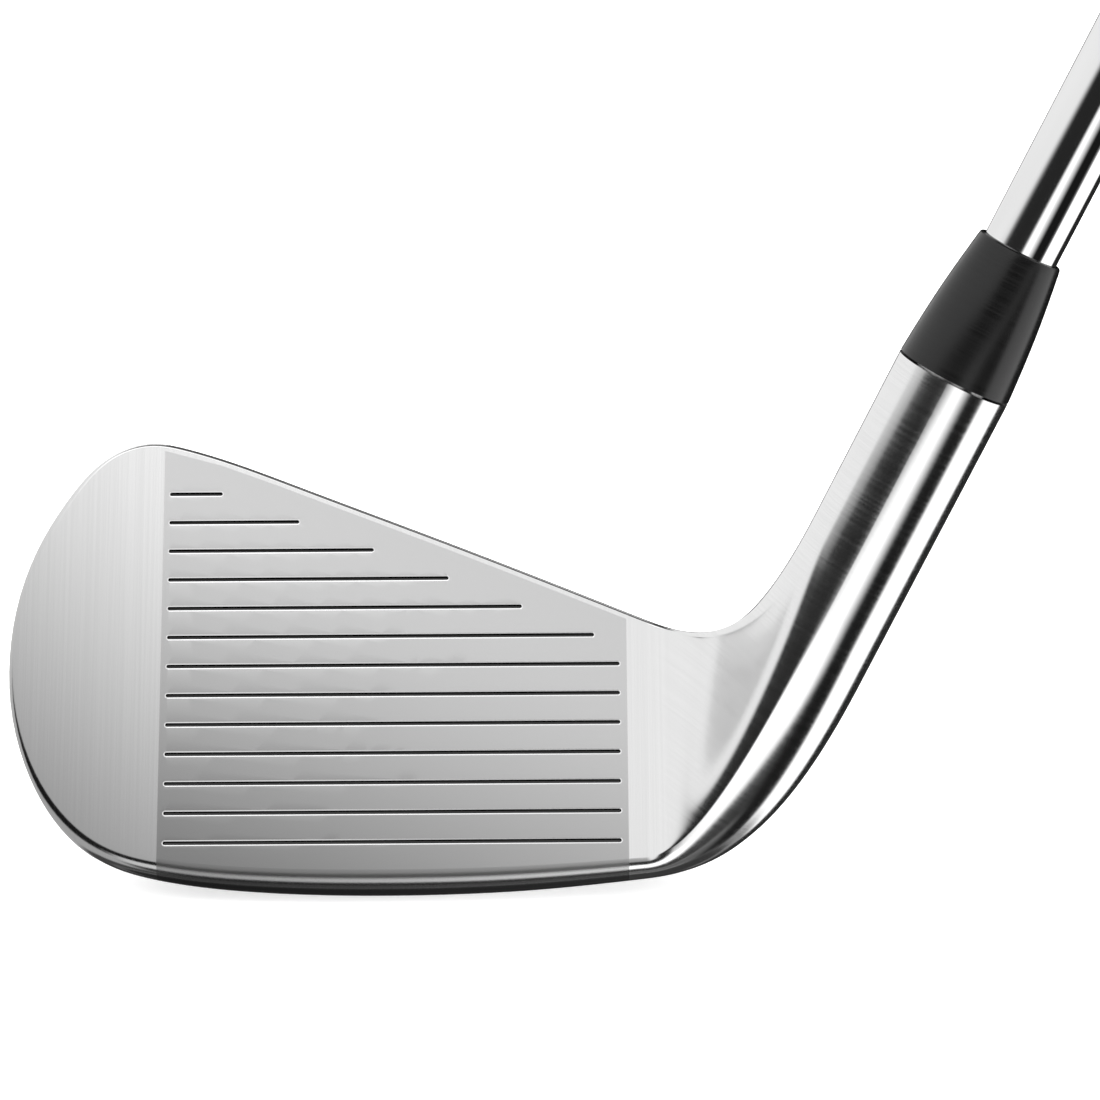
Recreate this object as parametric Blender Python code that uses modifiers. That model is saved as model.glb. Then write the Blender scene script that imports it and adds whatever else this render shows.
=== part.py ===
"""Right-handed mid iron golf club.

Frame: metres, +X from toe to heel, +Y from the striking face to the back, +Z up.
The origin is the middle of the flat where the sole rests on the ground.
"""

import math

import bmesh
import bpy
import numpy as np
from mathutils import Matrix

MM = 0.001
OUTLINE_SCALE = 1.0                 # of blade length and height together
BLADE_MM = MM * OUTLINE_SCALE       # for the places on the blade that follow its outline

# Club
CLUB_LENGTH = 939.8 * MM            # along the shaft axis, ground to the end of the cap
LIE = math.radians(63.5)            # shaft axis above the ground
LOFT = math.radians(30.0)           # face leaning back from the vertical
AXIS_GROUND_X = 34.7 * BLADE_MM     # where the shaft axis meets the ground
AXIS_BEHIND_FOOT = 4.3 * MM         # shaft axis behind the face's lower edge

# Blade outline on the face plane, (x, height up the face), heel to toe to heel
FACE_OUTLINE = (
    (30.0, 1.25), (15.0, 0.31), (0.0, 0.0), (-16.0, 0.33), (-27.0, 1.40), (-33.9, 3.43),
    (-39.1, 7.75), (-42.5, 13.2), (-44.5, 20.0), (-44.9, 26.5), (-44.2, 33.0), (-42.1, 39.9),
    (-38.5, 46.4), (-34.1, 51.15), (-29.6, 52.65), (-25.4, 52.0), (-11.4, 46.95), (6.8, 39.7),
    (30.0, 30.1),
)
OUTLINE_TOE_FOOT = 5                # outline point where the sole turns into the toe
OUTLINE_TOE_TOP = 13                # outline point where the toe turns into the topline
TOE_GRID_X = -24.0 * BLADE_MM       # toe side of this line, the surface rows bend round the toe

# Rim round the blade
TOPLINE_DEPTH = 6.6 * MM            # face plane to the flat upper back
TOPLINE_EDGE_RADIUS = 0.5 * MM
TOE_EDGE_RADIUS = 1.25 * MM
LEADING_EDGE_RADIUS = 2.6 * MM
LEADING_EDGE_FALL = 0.2             # share of that radius lost 30 mm from the middle
BACK_EDGE_RADIUS = 1.1 * MM
SOLE_DEPTH = 17.4 * MM              # face plane to the trailing edge
SOLE_DEPTH_FALL = 0.12              # share of that depth lost 30 mm from the middle
BOUNCE = math.radians(10.0)         # sole rising forward to the leading edge
TRAILING_RISE = math.radians(11.0)  # sole rising to the trailing edge
MUSCLE_HEIGHT = 16.5 * MM           # height over which the back slopes to the flat upper part
SOLE_FLAT_DEPTH = 0.12 * MM         # ground flat, cut off the curve of the sole

# Hosel
HOSEL_DIAMETER = 13.9 * MM
HOSEL_TOP = 69.5 * MM               # along the shaft axis from the ground
BLEND_TOP = 48.0 * MM               # where the heel blend ends, on the toe side of the hosel
BLEND_FOOT = 32.0 * MM              # and on its heel side
BLEND_PULL = 0.77                   # how far the heel curves reach into their corner
BORE_DEPTH = 32.0 * MM
GAP = 0.3 * MM                      # between pieces that touch
SLIP = 0.2 * MM                     # round the shaft, between turned pieces

# Face insert and scorelines
FACE_THICKNESS = 2.0 * MM
INSERT_MARGIN = 2.2 * MM            # outline of the head to outline of the insert
INSERT_HEEL_X = 29.0 * BLADE_MM
SCORELINE_COUNT = 13
SCORELINE_PITCH = 3.6 * BLADE_MM
SCORELINE_WIDTH = 0.76 * MM
SCORELINE_DEPTH = 0.45 * MM
SCORELINE_FOOT = 3.35 * BLADE_MM    # height of the lowest scoreline
SCORELINE_HALF = 27.3 * BLADE_MM
SCORELINE_MARGIN = 3.95 * MM        # from the topline to the end of a short scoreline

# Hollow in the muscle, and what it holds
HOLLOW_TOE_X = -29.0 * BLADE_MM
HOLLOW_HEEL_X = 24.0 * BLADE_MM
HOLLOW_FOOT = 5.6 * MM              # above the face's lower edge
HOLLOW_HEIGHT = 11.5 * MM
HOLLOW_CHAMFER = 1.5 * MM           # off its corner between sole and back
BACK_WALL = 2.5 * MM
WEIGHT_WIDTH = 13.0 * MM            # each tungsten block, along X

# Recess in the upper back, and the badge in it
BADGE_TOE_X = -31.0 * BLADE_MM
BADGE_HEEL_X = 10.0 * BLADE_MM
BADGE_FOOT = 28.5 * BLADE_MM        # height up the face plane
BADGE_MARGIN = 6.0 * MM             # outline of the head to outline of the recess
RECESS_DEPTH = 2.6 * MM
PAD_THICKNESS = 0.5 * MM
BADGE_THICKNESS = 0.8 * MM

# Ferrule
FERRULE_LENGTH = 16.7 * MM
FERRULE_TOP_WALL = 0.4 * MM
FERRULE_SWELL = 0.12                # how much its side bulges past a straight cone

# Shaft
SHAFT_TIP_DIAMETER = 9.02 * MM
SHAFT_BUTT_DIAMETER = 15.24 * MM
SHAFT_WALL = 0.5 * MM
SHAFT_TIP_ABOVE_BORE = 2.0 * MM
SHAFT_STEPS = 12
FIRST_STEP = 250.0 * MM             # along the shaft axis from the ground
STEP_RAMP = 3.0 * MM
LABEL_LENGTH = 38.0 * MM
LABEL_THICKNESS = 0.35 * MM
TIP_PIN_LENGTH = 18.0 * MM
TIP_PIN_HEAD = 1.2 * MM

# Grip
GRIP_LENGTH = 267.0 * MM
GRIP_MOUTH_WALL = 1.3 * MM
GRIP_BUTT_WALL = 4.6 * MM
GRIP_FLARE = 1.6 * MM               # extra radius of the butt's rim
TAPE_THICKNESS = 0.35 * MM
CAP_THICKNESS = 3.2 * MM
CAP_PLUG = 3.0 * MM
VENT_DIAMETER = 3.5 * MM

# Facets
FACE_ROWS = 12                      # up the face, and up the back
RIM_FRONT, RIM_MAIN, RIM_BACK = 4, 4, 2
TOE_COLUMNS = 7
BLADE_COLUMNS = 9
BLEND_COLUMNS = 16
TURNED_SIDES = 32
OUTLINE_SLACK = 0.015 * MM          # how far an inset outline may run off its true curve


def spline(points, per_span):
    """A natural cubic spline through points, and its unit tangents."""
    points = np.array(points, float)
    chord = np.linalg.norm(np.diff(points, axis=0), axis=1)
    knots = np.concatenate(([0.0], np.cumsum(chord)))
    count = len(points)
    system = np.eye(count)
    right = np.zeros_like(points)
    for i in range(1, count - 1):
        before, after = chord[i - 1], chord[i]
        system[i, i - 1:i + 2] = before, 2.0 * (before + after), after
        right[i] = 6.0 * ((points[i + 1] - points[i]) / after - (points[i] - points[i - 1]) / before)
    bend = np.linalg.solve(system, right)
    places, tangents = [], []
    for i in range(count - 1):
        span = chord[i]
        shares = np.linspace(0.0, 1.0, per_span + 1)
        for share in shares if i == count - 2 else shares[:-1]:
            ahead, back = share * span, (1.0 - share) * span
            slope = (points[i + 1] - points[i]) / span
            places.append(
                (bend[i] * back ** 3 + bend[i + 1] * ahead ** 3) / (6.0 * span)
                + (points[i] / span - bend[i] * span / 6.0) * back
                + (points[i + 1] / span - bend[i + 1] * span / 6.0) * ahead
            )
            tangents.append(
                (bend[i + 1] * ahead ** 2 - bend[i] * back ** 2) / (2.0 * span)
                + slope
                - (bend[i + 1] - bend[i]) * span / 6.0
            )
    tangents = np.array(tangents)
    return np.array(places), tangents / np.linalg.norm(tangents, axis=1)[:, None]


def smoothstep(share):
    share = np.clip(share, 0.0, 1.0)
    return share * share * (3.0 - 2.0 * share)


def mix(first, second, share):
    return first + (second - first) * share


# The outline as a dense curve, split where the sole, the toe and the topline meet.
PER_SPAN = 24
OUTLINE, OUTLINE_TANGENT = spline(np.array(FACE_OUTLINE) * BLADE_MM, PER_SPAN)
OUTWARD = np.stack((-OUTLINE_TANGENT[:, 1], OUTLINE_TANGENT[:, 0]), axis=1)
TOE_FOOT = OUTLINE_TOE_FOOT * PER_SPAN
TOE_TOP = OUTLINE_TOE_TOP * PER_SPAN


def outline_at(index):
    """Point and outward direction at a fractional index of the dense outline."""
    steps = np.arange(len(OUTLINE))
    point = np.array([np.interp(index, steps, OUTLINE[:, k]) for k in (0, 1)])
    outward = np.array([np.interp(index, steps, OUTWARD[:, k]) for k in (0, 1)])
    return point, outward / np.linalg.norm(outward)


def sole_index(x):
    return float(np.interp(-x, -OUTLINE[:TOE_FOOT + 1, 0], np.arange(TOE_FOOT + 1)))


def topline_index(x):
    return float(np.interp(x, OUTLINE[TOE_TOP:, 0], np.arange(TOE_TOP, len(OUTLINE))))


def fall(x, share):
    """What is left of a size that shrinks away from the middle of the blade."""
    return 1.0 - share * (x / (30.0 * MM)) ** 2


def sole_depth(x):
    return SOLE_DEPTH * fall(x, SOLE_DEPTH_FALL)


def arc(start, radius, heading, end_heading, count):
    """Points along an arc after its start; headings turn from outward to backward."""
    angles = np.linspace(heading, end_heading, count + 1)[1:]
    return [
        (
            start[0] + radius * (math.sin(a) - math.sin(heading)),
            start[1] + radius * (math.cos(heading) - math.cos(a)),
        )
        for a in angles
    ]


def rim_section(x, outward, depth):
    """Rim from the face's edge to the back's edge, as (outward, depth) points."""
    sole = float(smoothstep((-outward[1] - 0.1) / 0.85))
    top = float(smoothstep(outward[1] / 0.9))
    leading = LEADING_EDGE_RADIUS * fall(x, LEADING_EDGE_FALL)
    front_radius = mix(mix(TOE_EDGE_RADIUS, leading, sole), TOPLINE_EDGE_RADIUS, top)
    square = math.radians(90.0)
    first = mix(square, square + LOFT - BOUNCE, sole)
    second = mix(square + math.radians(2.0), square + LOFT + TRAILING_RISE, sole)
    last = mix(2.0 * square, 2.0 * square + back_slope(), sole)
    front_depth = front_radius * (1.0 - math.cos(first))
    back_depth_part = BACK_EDGE_RADIUS * (math.cos(second) - math.cos(last))
    main_share = math.cos(first) - math.cos(second)
    main_radius = (depth - front_depth - back_depth_part) / main_share
    points = [(0.0, 0.0)]
    points += arc(points[-1], front_radius, 0.0, first, RIM_FRONT)
    points += arc(points[-1], main_radius, first, second, RIM_MAIN)
    points += arc(points[-1], BACK_EDGE_RADIUS, second, last, RIM_BACK)
    return points, main_radius


def back_slope():
    """Slope of the muscle where it leaves the trailing edge."""
    return math.atan(2.0 * (SOLE_DEPTH - TOPLINE_DEPTH) / MUSCLE_HEIGHT)


def back_depth(x, above_trailing_edge):
    """Depth of the back behind the face plane."""
    share = max(0.0, 1.0 - max(0.0, above_trailing_edge) / MUSCLE_HEIGHT)
    return TOPLINE_DEPTH + (sole_depth(x) - TOPLINE_DEPTH) * share ** 2


# The middle section stands on the ground: the face's lower edge follows from its arcs.
MIDDLE_SECTION, SOLE_RADIUS = rim_section(0.0, (0.0, -1.0), SOLE_DEPTH)
TRAILING_HEIGHT = -MIDDLE_SECTION[-1][0]
EDGE_CENTRE_Y = (LEADING_EDGE_RADIUS - SOLE_RADIUS) * math.sin(BOUNCE)
EDGE_CENTRE_Z = SOLE_RADIUS + (LEADING_EDGE_RADIUS - SOLE_RADIUS) * math.cos(BOUNCE) - SOLE_FLAT_DEPTH
FOOT_Y = EDGE_CENTRE_Y - LEADING_EDGE_RADIUS * math.cos(LOFT)
FOOT_Z = EDGE_CENTRE_Z + LEADING_EDGE_RADIUS * math.sin(LOFT)
AXIS_Y = FOOT_Y + AXIS_BEHIND_FOOT

# Face plane: X, up the face, and into the head.
FACE_FRAME = Matrix((
    (1.0, 0.0, 0.0, 0.0),
    (0.0, math.sin(LOFT), math.cos(LOFT), FOOT_Y),
    (0.0, math.cos(LOFT), -math.sin(LOFT), FOOT_Z),
    (0.0, 0.0, 0.0, 1.0),
))
# The same plane seen along X, for prisms that run from toe to heel.
ALONG_FRAME = FACE_FRAME @ Matrix((
    (0.0, 0.0, 1.0, 0.0),
    (1.0, 0.0, 0.0, 0.0),
    (0.0, 1.0, 0.0, 0.0),
    (0.0, 0.0, 0.0, 1.0),
))
# Shaft axis: local +Z runs from the ground up the shaft.
SHAFT_FRAME = Matrix.Translation((AXIS_GROUND_X, AXIS_Y, 0.0)) @ Matrix.Rotation(
    math.radians(90.0) - LIE, 4, "Y"
)


def on_face(x, height, depth):
    return np.array(FACE_FRAME @ Matrix.Translation((x, height, depth)).to_translation())


def on_hosel(angle, along):
    """Point on the hosel's cylinder; angle 0 faces forward, 90 degrees the heel."""
    radius = HOSEL_DIAMETER / 2.0
    local = Matrix.Translation((radius * math.sin(angle), -radius * math.cos(angle), along))
    return np.array((SHAFT_FRAME @ local).to_translation())


def toe_insets(shares):
    """How far the back's edge lies from the face's edge round the toe."""
    insets = []
    for share in shares:
        point, outward = outline_at(mix(TOE_FOOT, TOE_TOP, share))
        depth = mix(sole_depth(point[0]), TOPLINE_DEPTH, share)
        section, _ = rim_section(point[0], outward, depth)
        insets.append(outward * section[-1][0])
    return np.array(insets)


def head_column(foot_index, top_index, bulge):
    """One closed row of points round the blade, from the face's foot over the topline."""
    foot, foot_out = outline_at(foot_index)
    top, top_out = outline_at(top_index)
    chord_foot, chord_top = OUTLINE[TOE_FOOT], OUTLINE[TOE_TOP]
    shares = np.linspace(0.0, 1.0, FACE_ROWS + 1)
    toe_points = np.array([outline_at(mix(TOE_FOOT, TOE_TOP, s))[0] for s in shares])
    bends = toe_points - (chord_foot + (chord_top - chord_foot) * shares[:, None])
    rows = foot + (top - foot) * shares[:, None] + bulge * bends
    front = [on_face(row[0], row[1], 0.0) for row in rows]

    sole_rim, _ = rim_section(foot[0], foot_out, sole_depth(foot[0]))
    top_rim, _ = rim_section(top[0], top_out, TOPLINE_DEPTH)
    over_top = [on_face(*(top + top_out * o), d) for o, d in top_rim[1:]]
    under = [on_face(*(foot + foot_out * o), d) for o, d in sole_rim[1:]]

    foot_inset = foot_out * sole_rim[-1][0]
    top_inset = top_out * top_rim[-1][0]
    straight = foot_inset + (top_inset - foot_inset) * shares[:, None]
    insets = mix(straight, toe_insets(shares), bulge)
    back = []
    for row, inset in list(zip(rows, insets))[-2:0:-1]:
        place = row + inset
        back.append(on_face(*place, back_depth(foot[0], place[1] - (foot + foot_inset)[1])))
    return front + over_top + back + under[::-1]


def blade_columns():
    columns = []
    for i in range(TOE_COLUMNS + 1):
        bulge = 1.0 - i / TOE_COLUMNS
        foot_index = mix(sole_index(TOE_GRID_X), TOE_FOOT, bulge)
        top_index = mix(topline_index(TOE_GRID_X), TOE_TOP, bulge)
        columns.append(head_column(foot_index, top_index, bulge))
    heel_x = OUTLINE[0][0]
    for x in np.linspace(TOE_GRID_X, heel_x, BLADE_COLUMNS + 1)[1:]:
        columns.append(head_column(sole_index(x), topline_index(x), 0.0))
    return columns


def hosel_angles():
    """Angle on the hosel of each point of a column."""
    rim = RIM_FRONT + RIM_MAIN + RIM_BACK
    top = FACE_ROWS
    back = top + rim
    under = back + FACE_ROWS
    marks = (
        (0, -12.0), (top, -62.0), (back, -118.0), (under, -200.0), (under + RIM_BACK, -235.0),
        (under + RIM_BACK + RIM_MAIN, -300.0), (under + rim, -372.0),
    )
    indices = np.arange(under + rim)
    return np.radians(np.interp(indices, [m[0] for m in marks], [m[1] for m in marks]))


def blend_columns(last, before):
    """Columns from the heel end of the blade to the hosel, each row a Bezier curve."""
    rise = np.array((math.cos(LIE), 0.0, math.sin(LIE)))
    starts = np.array(last)
    runs = starts - np.array(before)
    runs /= np.linalg.norm(runs, axis=1)[:, None]
    handles = []
    for start, run, angle in zip(starts, runs, hosel_angles()):
        along = mix(BLEND_TOP, BLEND_FOOT, 0.5 + 0.5 * math.sin(angle))
        end = on_hosel(angle, along)
        flat = np.array(((run[0], rise[0]), (run[2], rise[2])))
        reach = np.linalg.solve(flat, (end - start)[[0, 2]])
        handles.append((start, start + run * reach[0] * BLEND_PULL, end - rise * reach[1] * BLEND_PULL, end))
    columns = []
    for t in np.linspace(0.0, 1.0, BLEND_COLUMNS + 1)[1:]:
        weights = ((1 - t) ** 3, 3 * t * (1 - t) ** 2, 3 * t * t * (1 - t), t ** 3)
        columns.append([sum(w * p for w, p in zip(weights, handle)) for handle in handles])
    columns.append([on_hosel(angle, HOSEL_TOP) for angle in hosel_angles()])
    return columns


def toe_rows(first):
    """Inner points of the rim round the toe, between the edges of the face and the back."""
    rim = RIM_FRONT + RIM_MAIN + RIM_BACK
    to_face = FACE_FRAME.inverted()
    rows = []
    for j in range(1, FACE_ROWS):
        point, outward = outline_at(mix(TOE_FOOT, TOE_TOP, j / FACE_ROWS))
        back_edge = first[2 * FACE_ROWS + rim - j]
        depth = (to_face @ Matrix.Translation(back_edge)).to_translation().z
        section, _ = rim_section(point[0], outward, depth)
        places = [on_face(*(point + outward * o), d) for o, d in section]
        miss = back_edge - places[-1]
        rows.append([places[k] + miss * (k / rim) for k in range(1, rim)])
    return rows


def collection(name):
    made = bpy.data.collections.new(name)
    bpy.context.scene.collection.children.link(made)
    return made


def material(name, colour, metallic, roughness):
    made = bpy.data.materials.new(name)
    made.use_nodes = True
    shader = made.node_tree.nodes["Principled BSDF"]
    shader.inputs["Base Color"].default_value = (*colour, 1.0)
    shader.inputs["Metallic"].default_value = metallic
    shader.inputs["Roughness"].default_value = roughness
    made.diffuse_color = (*colour, 1.0)
    return made


def add(name, mesh, look, group):
    made = bpy.data.objects.new(name, mesh)
    group.objects.link(made)
    if look:
        mesh.materials.append(look)
    else:
        made.hide_render = True
        made.display_type = "WIRE"
    return made


def head_mesh():
    """Blade, heel and hosel as one loft, closed round the toe and at the hosel's end."""
    blade = blade_columns()
    columns = blade + blend_columns(blade[-1], blade[-2])
    around = len(columns[0])
    rim = RIM_FRONT + RIM_MAIN + RIM_BACK
    shell = bmesh.new()
    rings = [[shell.verts.new(point) for point in column] for column in columns]
    for near, far in zip(rings[:-1], rings[1:]):
        for j in range(around):
            k = (j + 1) % around
            shell.faces.new((near[j], near[k], far[k], far[j]))
    shell.faces.new(rings[-1])
    toe = rings[0]
    rows = [[toe[0]] + toe[:-rim - 1:-1]]
    for j, places in enumerate(toe_rows(columns[0]), start=1):
        inner = [shell.verts.new(place) for place in places]
        rows.append([toe[j]] + inner + [toe[2 * FACE_ROWS + rim - j]])
    rows.append(toe[FACE_ROWS:FACE_ROWS + rim + 1])
    for low, high in zip(rows[:-1], rows[1:]):
        for k in range(rim):
            shell.faces.new((low[k], low[k + 1], high[k + 1], high[k]))
    bmesh.ops.recalc_face_normals(shell, faces=shell.faces)
    mesh = bpy.data.meshes.new("head_body")
    shell.to_mesh(mesh)
    shell.free()
    mesh.shade_smooth()
    mesh.set_sharp_from_angle(angle=math.radians(35.0))
    return mesh


def prism(name, outline, frame, start, end, look, group):
    """A flat outline pushed along the frame's local Z from start to end."""
    curve = bpy.data.curves.new(name, "CURVE")
    curve.dimensions = "2D"
    curve.fill_mode = "BOTH"
    curve.extrude = (end - start) / 2.0
    line = curve.splines.new("POLY")
    line.points.add(len(outline) - 1)
    for point, place in zip(line.points, outline):
        point.co = (place[0], place[1], 0.0, 1.0)
    line.use_cyclic_u = True
    flat = add(name, curve, look, group)
    flat.matrix_world = frame @ Matrix.Translation((0.0, 0.0, (start + end) / 2.0))
    bpy.context.view_layer.update()
    mesh = bpy.data.meshes.new_from_object(flat.evaluated_get(bpy.context.evaluated_depsgraph_get()))
    solid = bmesh.new()
    solid.from_mesh(mesh)
    bmesh.ops.remove_doubles(solid, verts=solid.verts, dist=0.00001)
    bmesh.ops.recalc_face_normals(solid, faces=solid.faces)
    solid.to_mesh(mesh)
    solid.free()
    placed = flat.matrix_world.copy()
    bpy.data.objects.remove(flat)
    bpy.data.curves.remove(curve)
    made = bpy.data.objects.new(name, mesh)
    group.objects.link(made)
    made.matrix_world = placed
    if not look:
        made.hide_render = True
        made.display_type = "WIRE"
    return made


def turned(name, profile, line, look, group, closed=True):
    """A profile of (radius, height) turned about the shaft axis, its outside run downward."""
    mesh = bpy.data.meshes.new(name)
    count = len(profile)
    edges = [(i, (i + 1) % count) for i in range(count if closed else count - 1)]
    mesh.from_pydata([(radius, 0.0, height) for radius, height in profile], edges, [])
    made = add(name, mesh, look, group)
    made.parent = line
    screw = made.modifiers.new("turn", "SCREW")
    screw.angle = 2.0 * math.pi
    screw.steps = TURNED_SIDES
    screw.render_steps = TURNED_SIDES
    screw.use_merge_vertices = True
    screw.merge_threshold = 0.00001
    screw.use_smooth_shade = False
    return made


def cut(piece, cutter):
    saw = piece.modifiers.new("cut " + cutter.name, "BOOLEAN")
    saw.operation = "DIFFERENCE"
    saw.solver = "EXACT"
    saw.object = cutter


def inset_outline(margin, heel_x, toe_x=None, foot=None):
    """The head's outline moved inward, cut off straight at the heel and where else asked."""
    places = OUTLINE - OUTWARD * margin
    # Where the outline turns tighter than the margin, the moved line would cross itself.
    clearance = np.array([np.linalg.norm(OUTLINE - place, axis=1).min() for place in places])
    places = places[clearance > margin - OUTLINE_SLACK]
    inside = np.flatnonzero(places[:, 0] < heel_x)
    places = places[inside[0] - 1:inside[-1] + 2]
    places[:, 0] = np.minimum(places[:, 0], heel_x)
    if toe_x is not None:
        places[:, 0] = np.maximum(places[:, 0], toe_x)
    if foot is not None:
        places[:, 1] = np.maximum(places[:, 1], foot)
    return thinned(places)


def thinned(places):
    """The outline with only the points that hold it to its curve within the slack."""
    apart = np.linalg.norm(np.diff(places, axis=0), axis=1) > OUTLINE_SLACK
    places = places[np.append(apart, True)]
    kept, last = [places[0]], 0
    for i in range(2, len(places)):
        chord = places[i] - places[last]
        between = places[last + 1:i] - places[last]
        miss = np.abs(chord[0] * between[:, 1] - chord[1] * between[:, 0]) / np.linalg.norm(chord)
        if miss.max() > OUTLINE_SLACK:
            last = i - 1
            kept.append(places[last])
    return [tuple(place) for place in kept + [places[-1]]]


def scoreline(height, group):
    """Cutter of one scoreline, with round ends."""
    index = np.arange(TOE_TOP, len(OUTLINE))
    end_x = float(np.interp(-(height + SCORELINE_MARGIN), -OUTLINE[index, 1], OUTLINE[index, 0]))
    end_x = min(end_x, SCORELINE_HALF)
    radius = SCORELINE_WIDTH / 2.0
    turn = [math.radians(a) for a in range(-90, 91, 45)]
    heel = [(end_x - radius + radius * math.cos(a), height + radius * math.sin(a)) for a in turn]
    toe = [(-SCORELINE_HALF + radius - radius * math.cos(a), height - radius * math.sin(a)) for a in turn]
    return prism("scoreline", heel + toe, FACE_FRAME, -1.0 * MM, SCORELINE_DEPTH, None, group)


def hollow_outline(inset, front):
    """Section of the muscle's hollow, as (height, depth), moved inward by the inset."""
    foot = HOLLOW_FOOT + inset
    top = HOLLOW_FOOT + HOLLOW_HEIGHT - inset
    heights = [mix(foot, top, share) for share in (0.2, 0.45, 0.7, 1.0)]
    back = [
        (h, back_depth(HOLLOW_TOE_X, h - TRAILING_HEIGHT) - BACK_WALL - inset) for h in heights
    ]
    return [(foot, front), (foot, back[0][1] - HOLLOW_CHAMFER)] + back + [(top, front)]


def make_head(group, cutters, looks, line):
    body = add("head_body", head_mesh(), looks["steel"], group)

    pocket = inset_outline(INSERT_MARGIN - GAP, INSERT_HEEL_X + GAP)
    cut(body, prism("insert_pocket", pocket, FACE_FRAME, -5.0 * MM, FACE_THICKNESS + GAP, None, cutters))
    hollow = hollow_outline(0.0, FACE_THICKNESS - GAP)
    cut(body, prism("hollow", hollow, ALONG_FRAME, HOLLOW_TOE_X, HOLLOW_HEEL_X, None, cutters))
    recess = inset_outline(BADGE_MARGIN, BADGE_HEEL_X, BADGE_TOE_X, BADGE_FOOT)
    floor = TOPLINE_DEPTH - RECESS_DEPTH
    cut(body, prism("badge_recess", recess, FACE_FRAME, floor, TOPLINE_DEPTH + 10.0 * MM, None, cutters))
    bore = SHAFT_TIP_DIAMETER / 2.0 + SLIP
    bore_profile = (
        (0.0, HOSEL_TOP + 5.0 * MM), (bore, HOSEL_TOP + 5.0 * MM),
        (bore, HOSEL_TOP - BORE_DEPTH), (0.0, HOSEL_TOP - BORE_DEPTH),
    )
    cut(body, turned("hosel_bore", bore_profile, line, None, cutters, closed=False))
    side = 200.0 * MM
    ground = [(-side, -side), (side, -side), (side, side), (-side, side)]
    cut(body, prism("ground", ground, Matrix.Identity(4), -10.0 * MM, 0.0, None, cutters))

    outline = inset_outline(INSERT_MARGIN, INSERT_HEEL_X)
    insert = prism("face_insert", outline, FACE_FRAME, 0.0, FACE_THICKNESS, looks["face"], group)
    for i in range(SCORELINE_COUNT):
        cut(insert, scoreline(SCORELINE_FOOT + i * SCORELINE_PITCH, cutters))

    held = hollow_outline(GAP, FACE_THICKNESS + GAP)
    toe_x, heel_x = HOLLOW_TOE_X + GAP, HOLLOW_HEEL_X - GAP
    prism("toe_weight", held, ALONG_FRAME, toe_x, toe_x + WEIGHT_WIDTH, looks["tungsten"], group)
    prism("heel_weight", held, ALONG_FRAME, heel_x - WEIGHT_WIDTH, heel_x, looks["tungsten"], group)
    core_start = toe_x + WEIGHT_WIDTH + GAP
    core_end = heel_x - WEIGHT_WIDTH - GAP
    prism("polymer_core", held, ALONG_FRAME, core_start, core_end, looks["polymer"], group)

    plate = inset_outline(
        BADGE_MARGIN + GAP, BADGE_HEEL_X - GAP, BADGE_TOE_X + GAP, BADGE_FOOT + GAP
    )
    pad_start = floor + GAP
    badge_start = pad_start + PAD_THICKNESS + GAP
    prism("badge_pad", plate, FACE_FRAME, pad_start, pad_start + PAD_THICKNESS, looks["pad"], group)
    badge_end = badge_start + BADGE_THICKNESS
    prism("back_badge", plate, FACE_FRAME, badge_start, badge_end, looks["badge"], group)


def shaft_steps():
    """Heights and radii down the outside of the shaft, butt first."""
    butt, tip = SHAFT_BUTT_DIAMETER / 2.0, SHAFT_TIP_DIAMETER / 2.0
    last_step = CLUB_LENGTH - GRIP_LENGTH - 12.0 * MM
    heights = np.linspace(FIRST_STEP, last_step, SHAFT_STEPS)
    radii = np.linspace(tip, butt, SHAFT_STEPS + 1)
    profile = []
    for i in reversed(range(SHAFT_STEPS)):
        profile.append((radii[i + 1], heights[i]))
        profile.append((radii[i], heights[i] - STEP_RAMP))
    return profile


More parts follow.
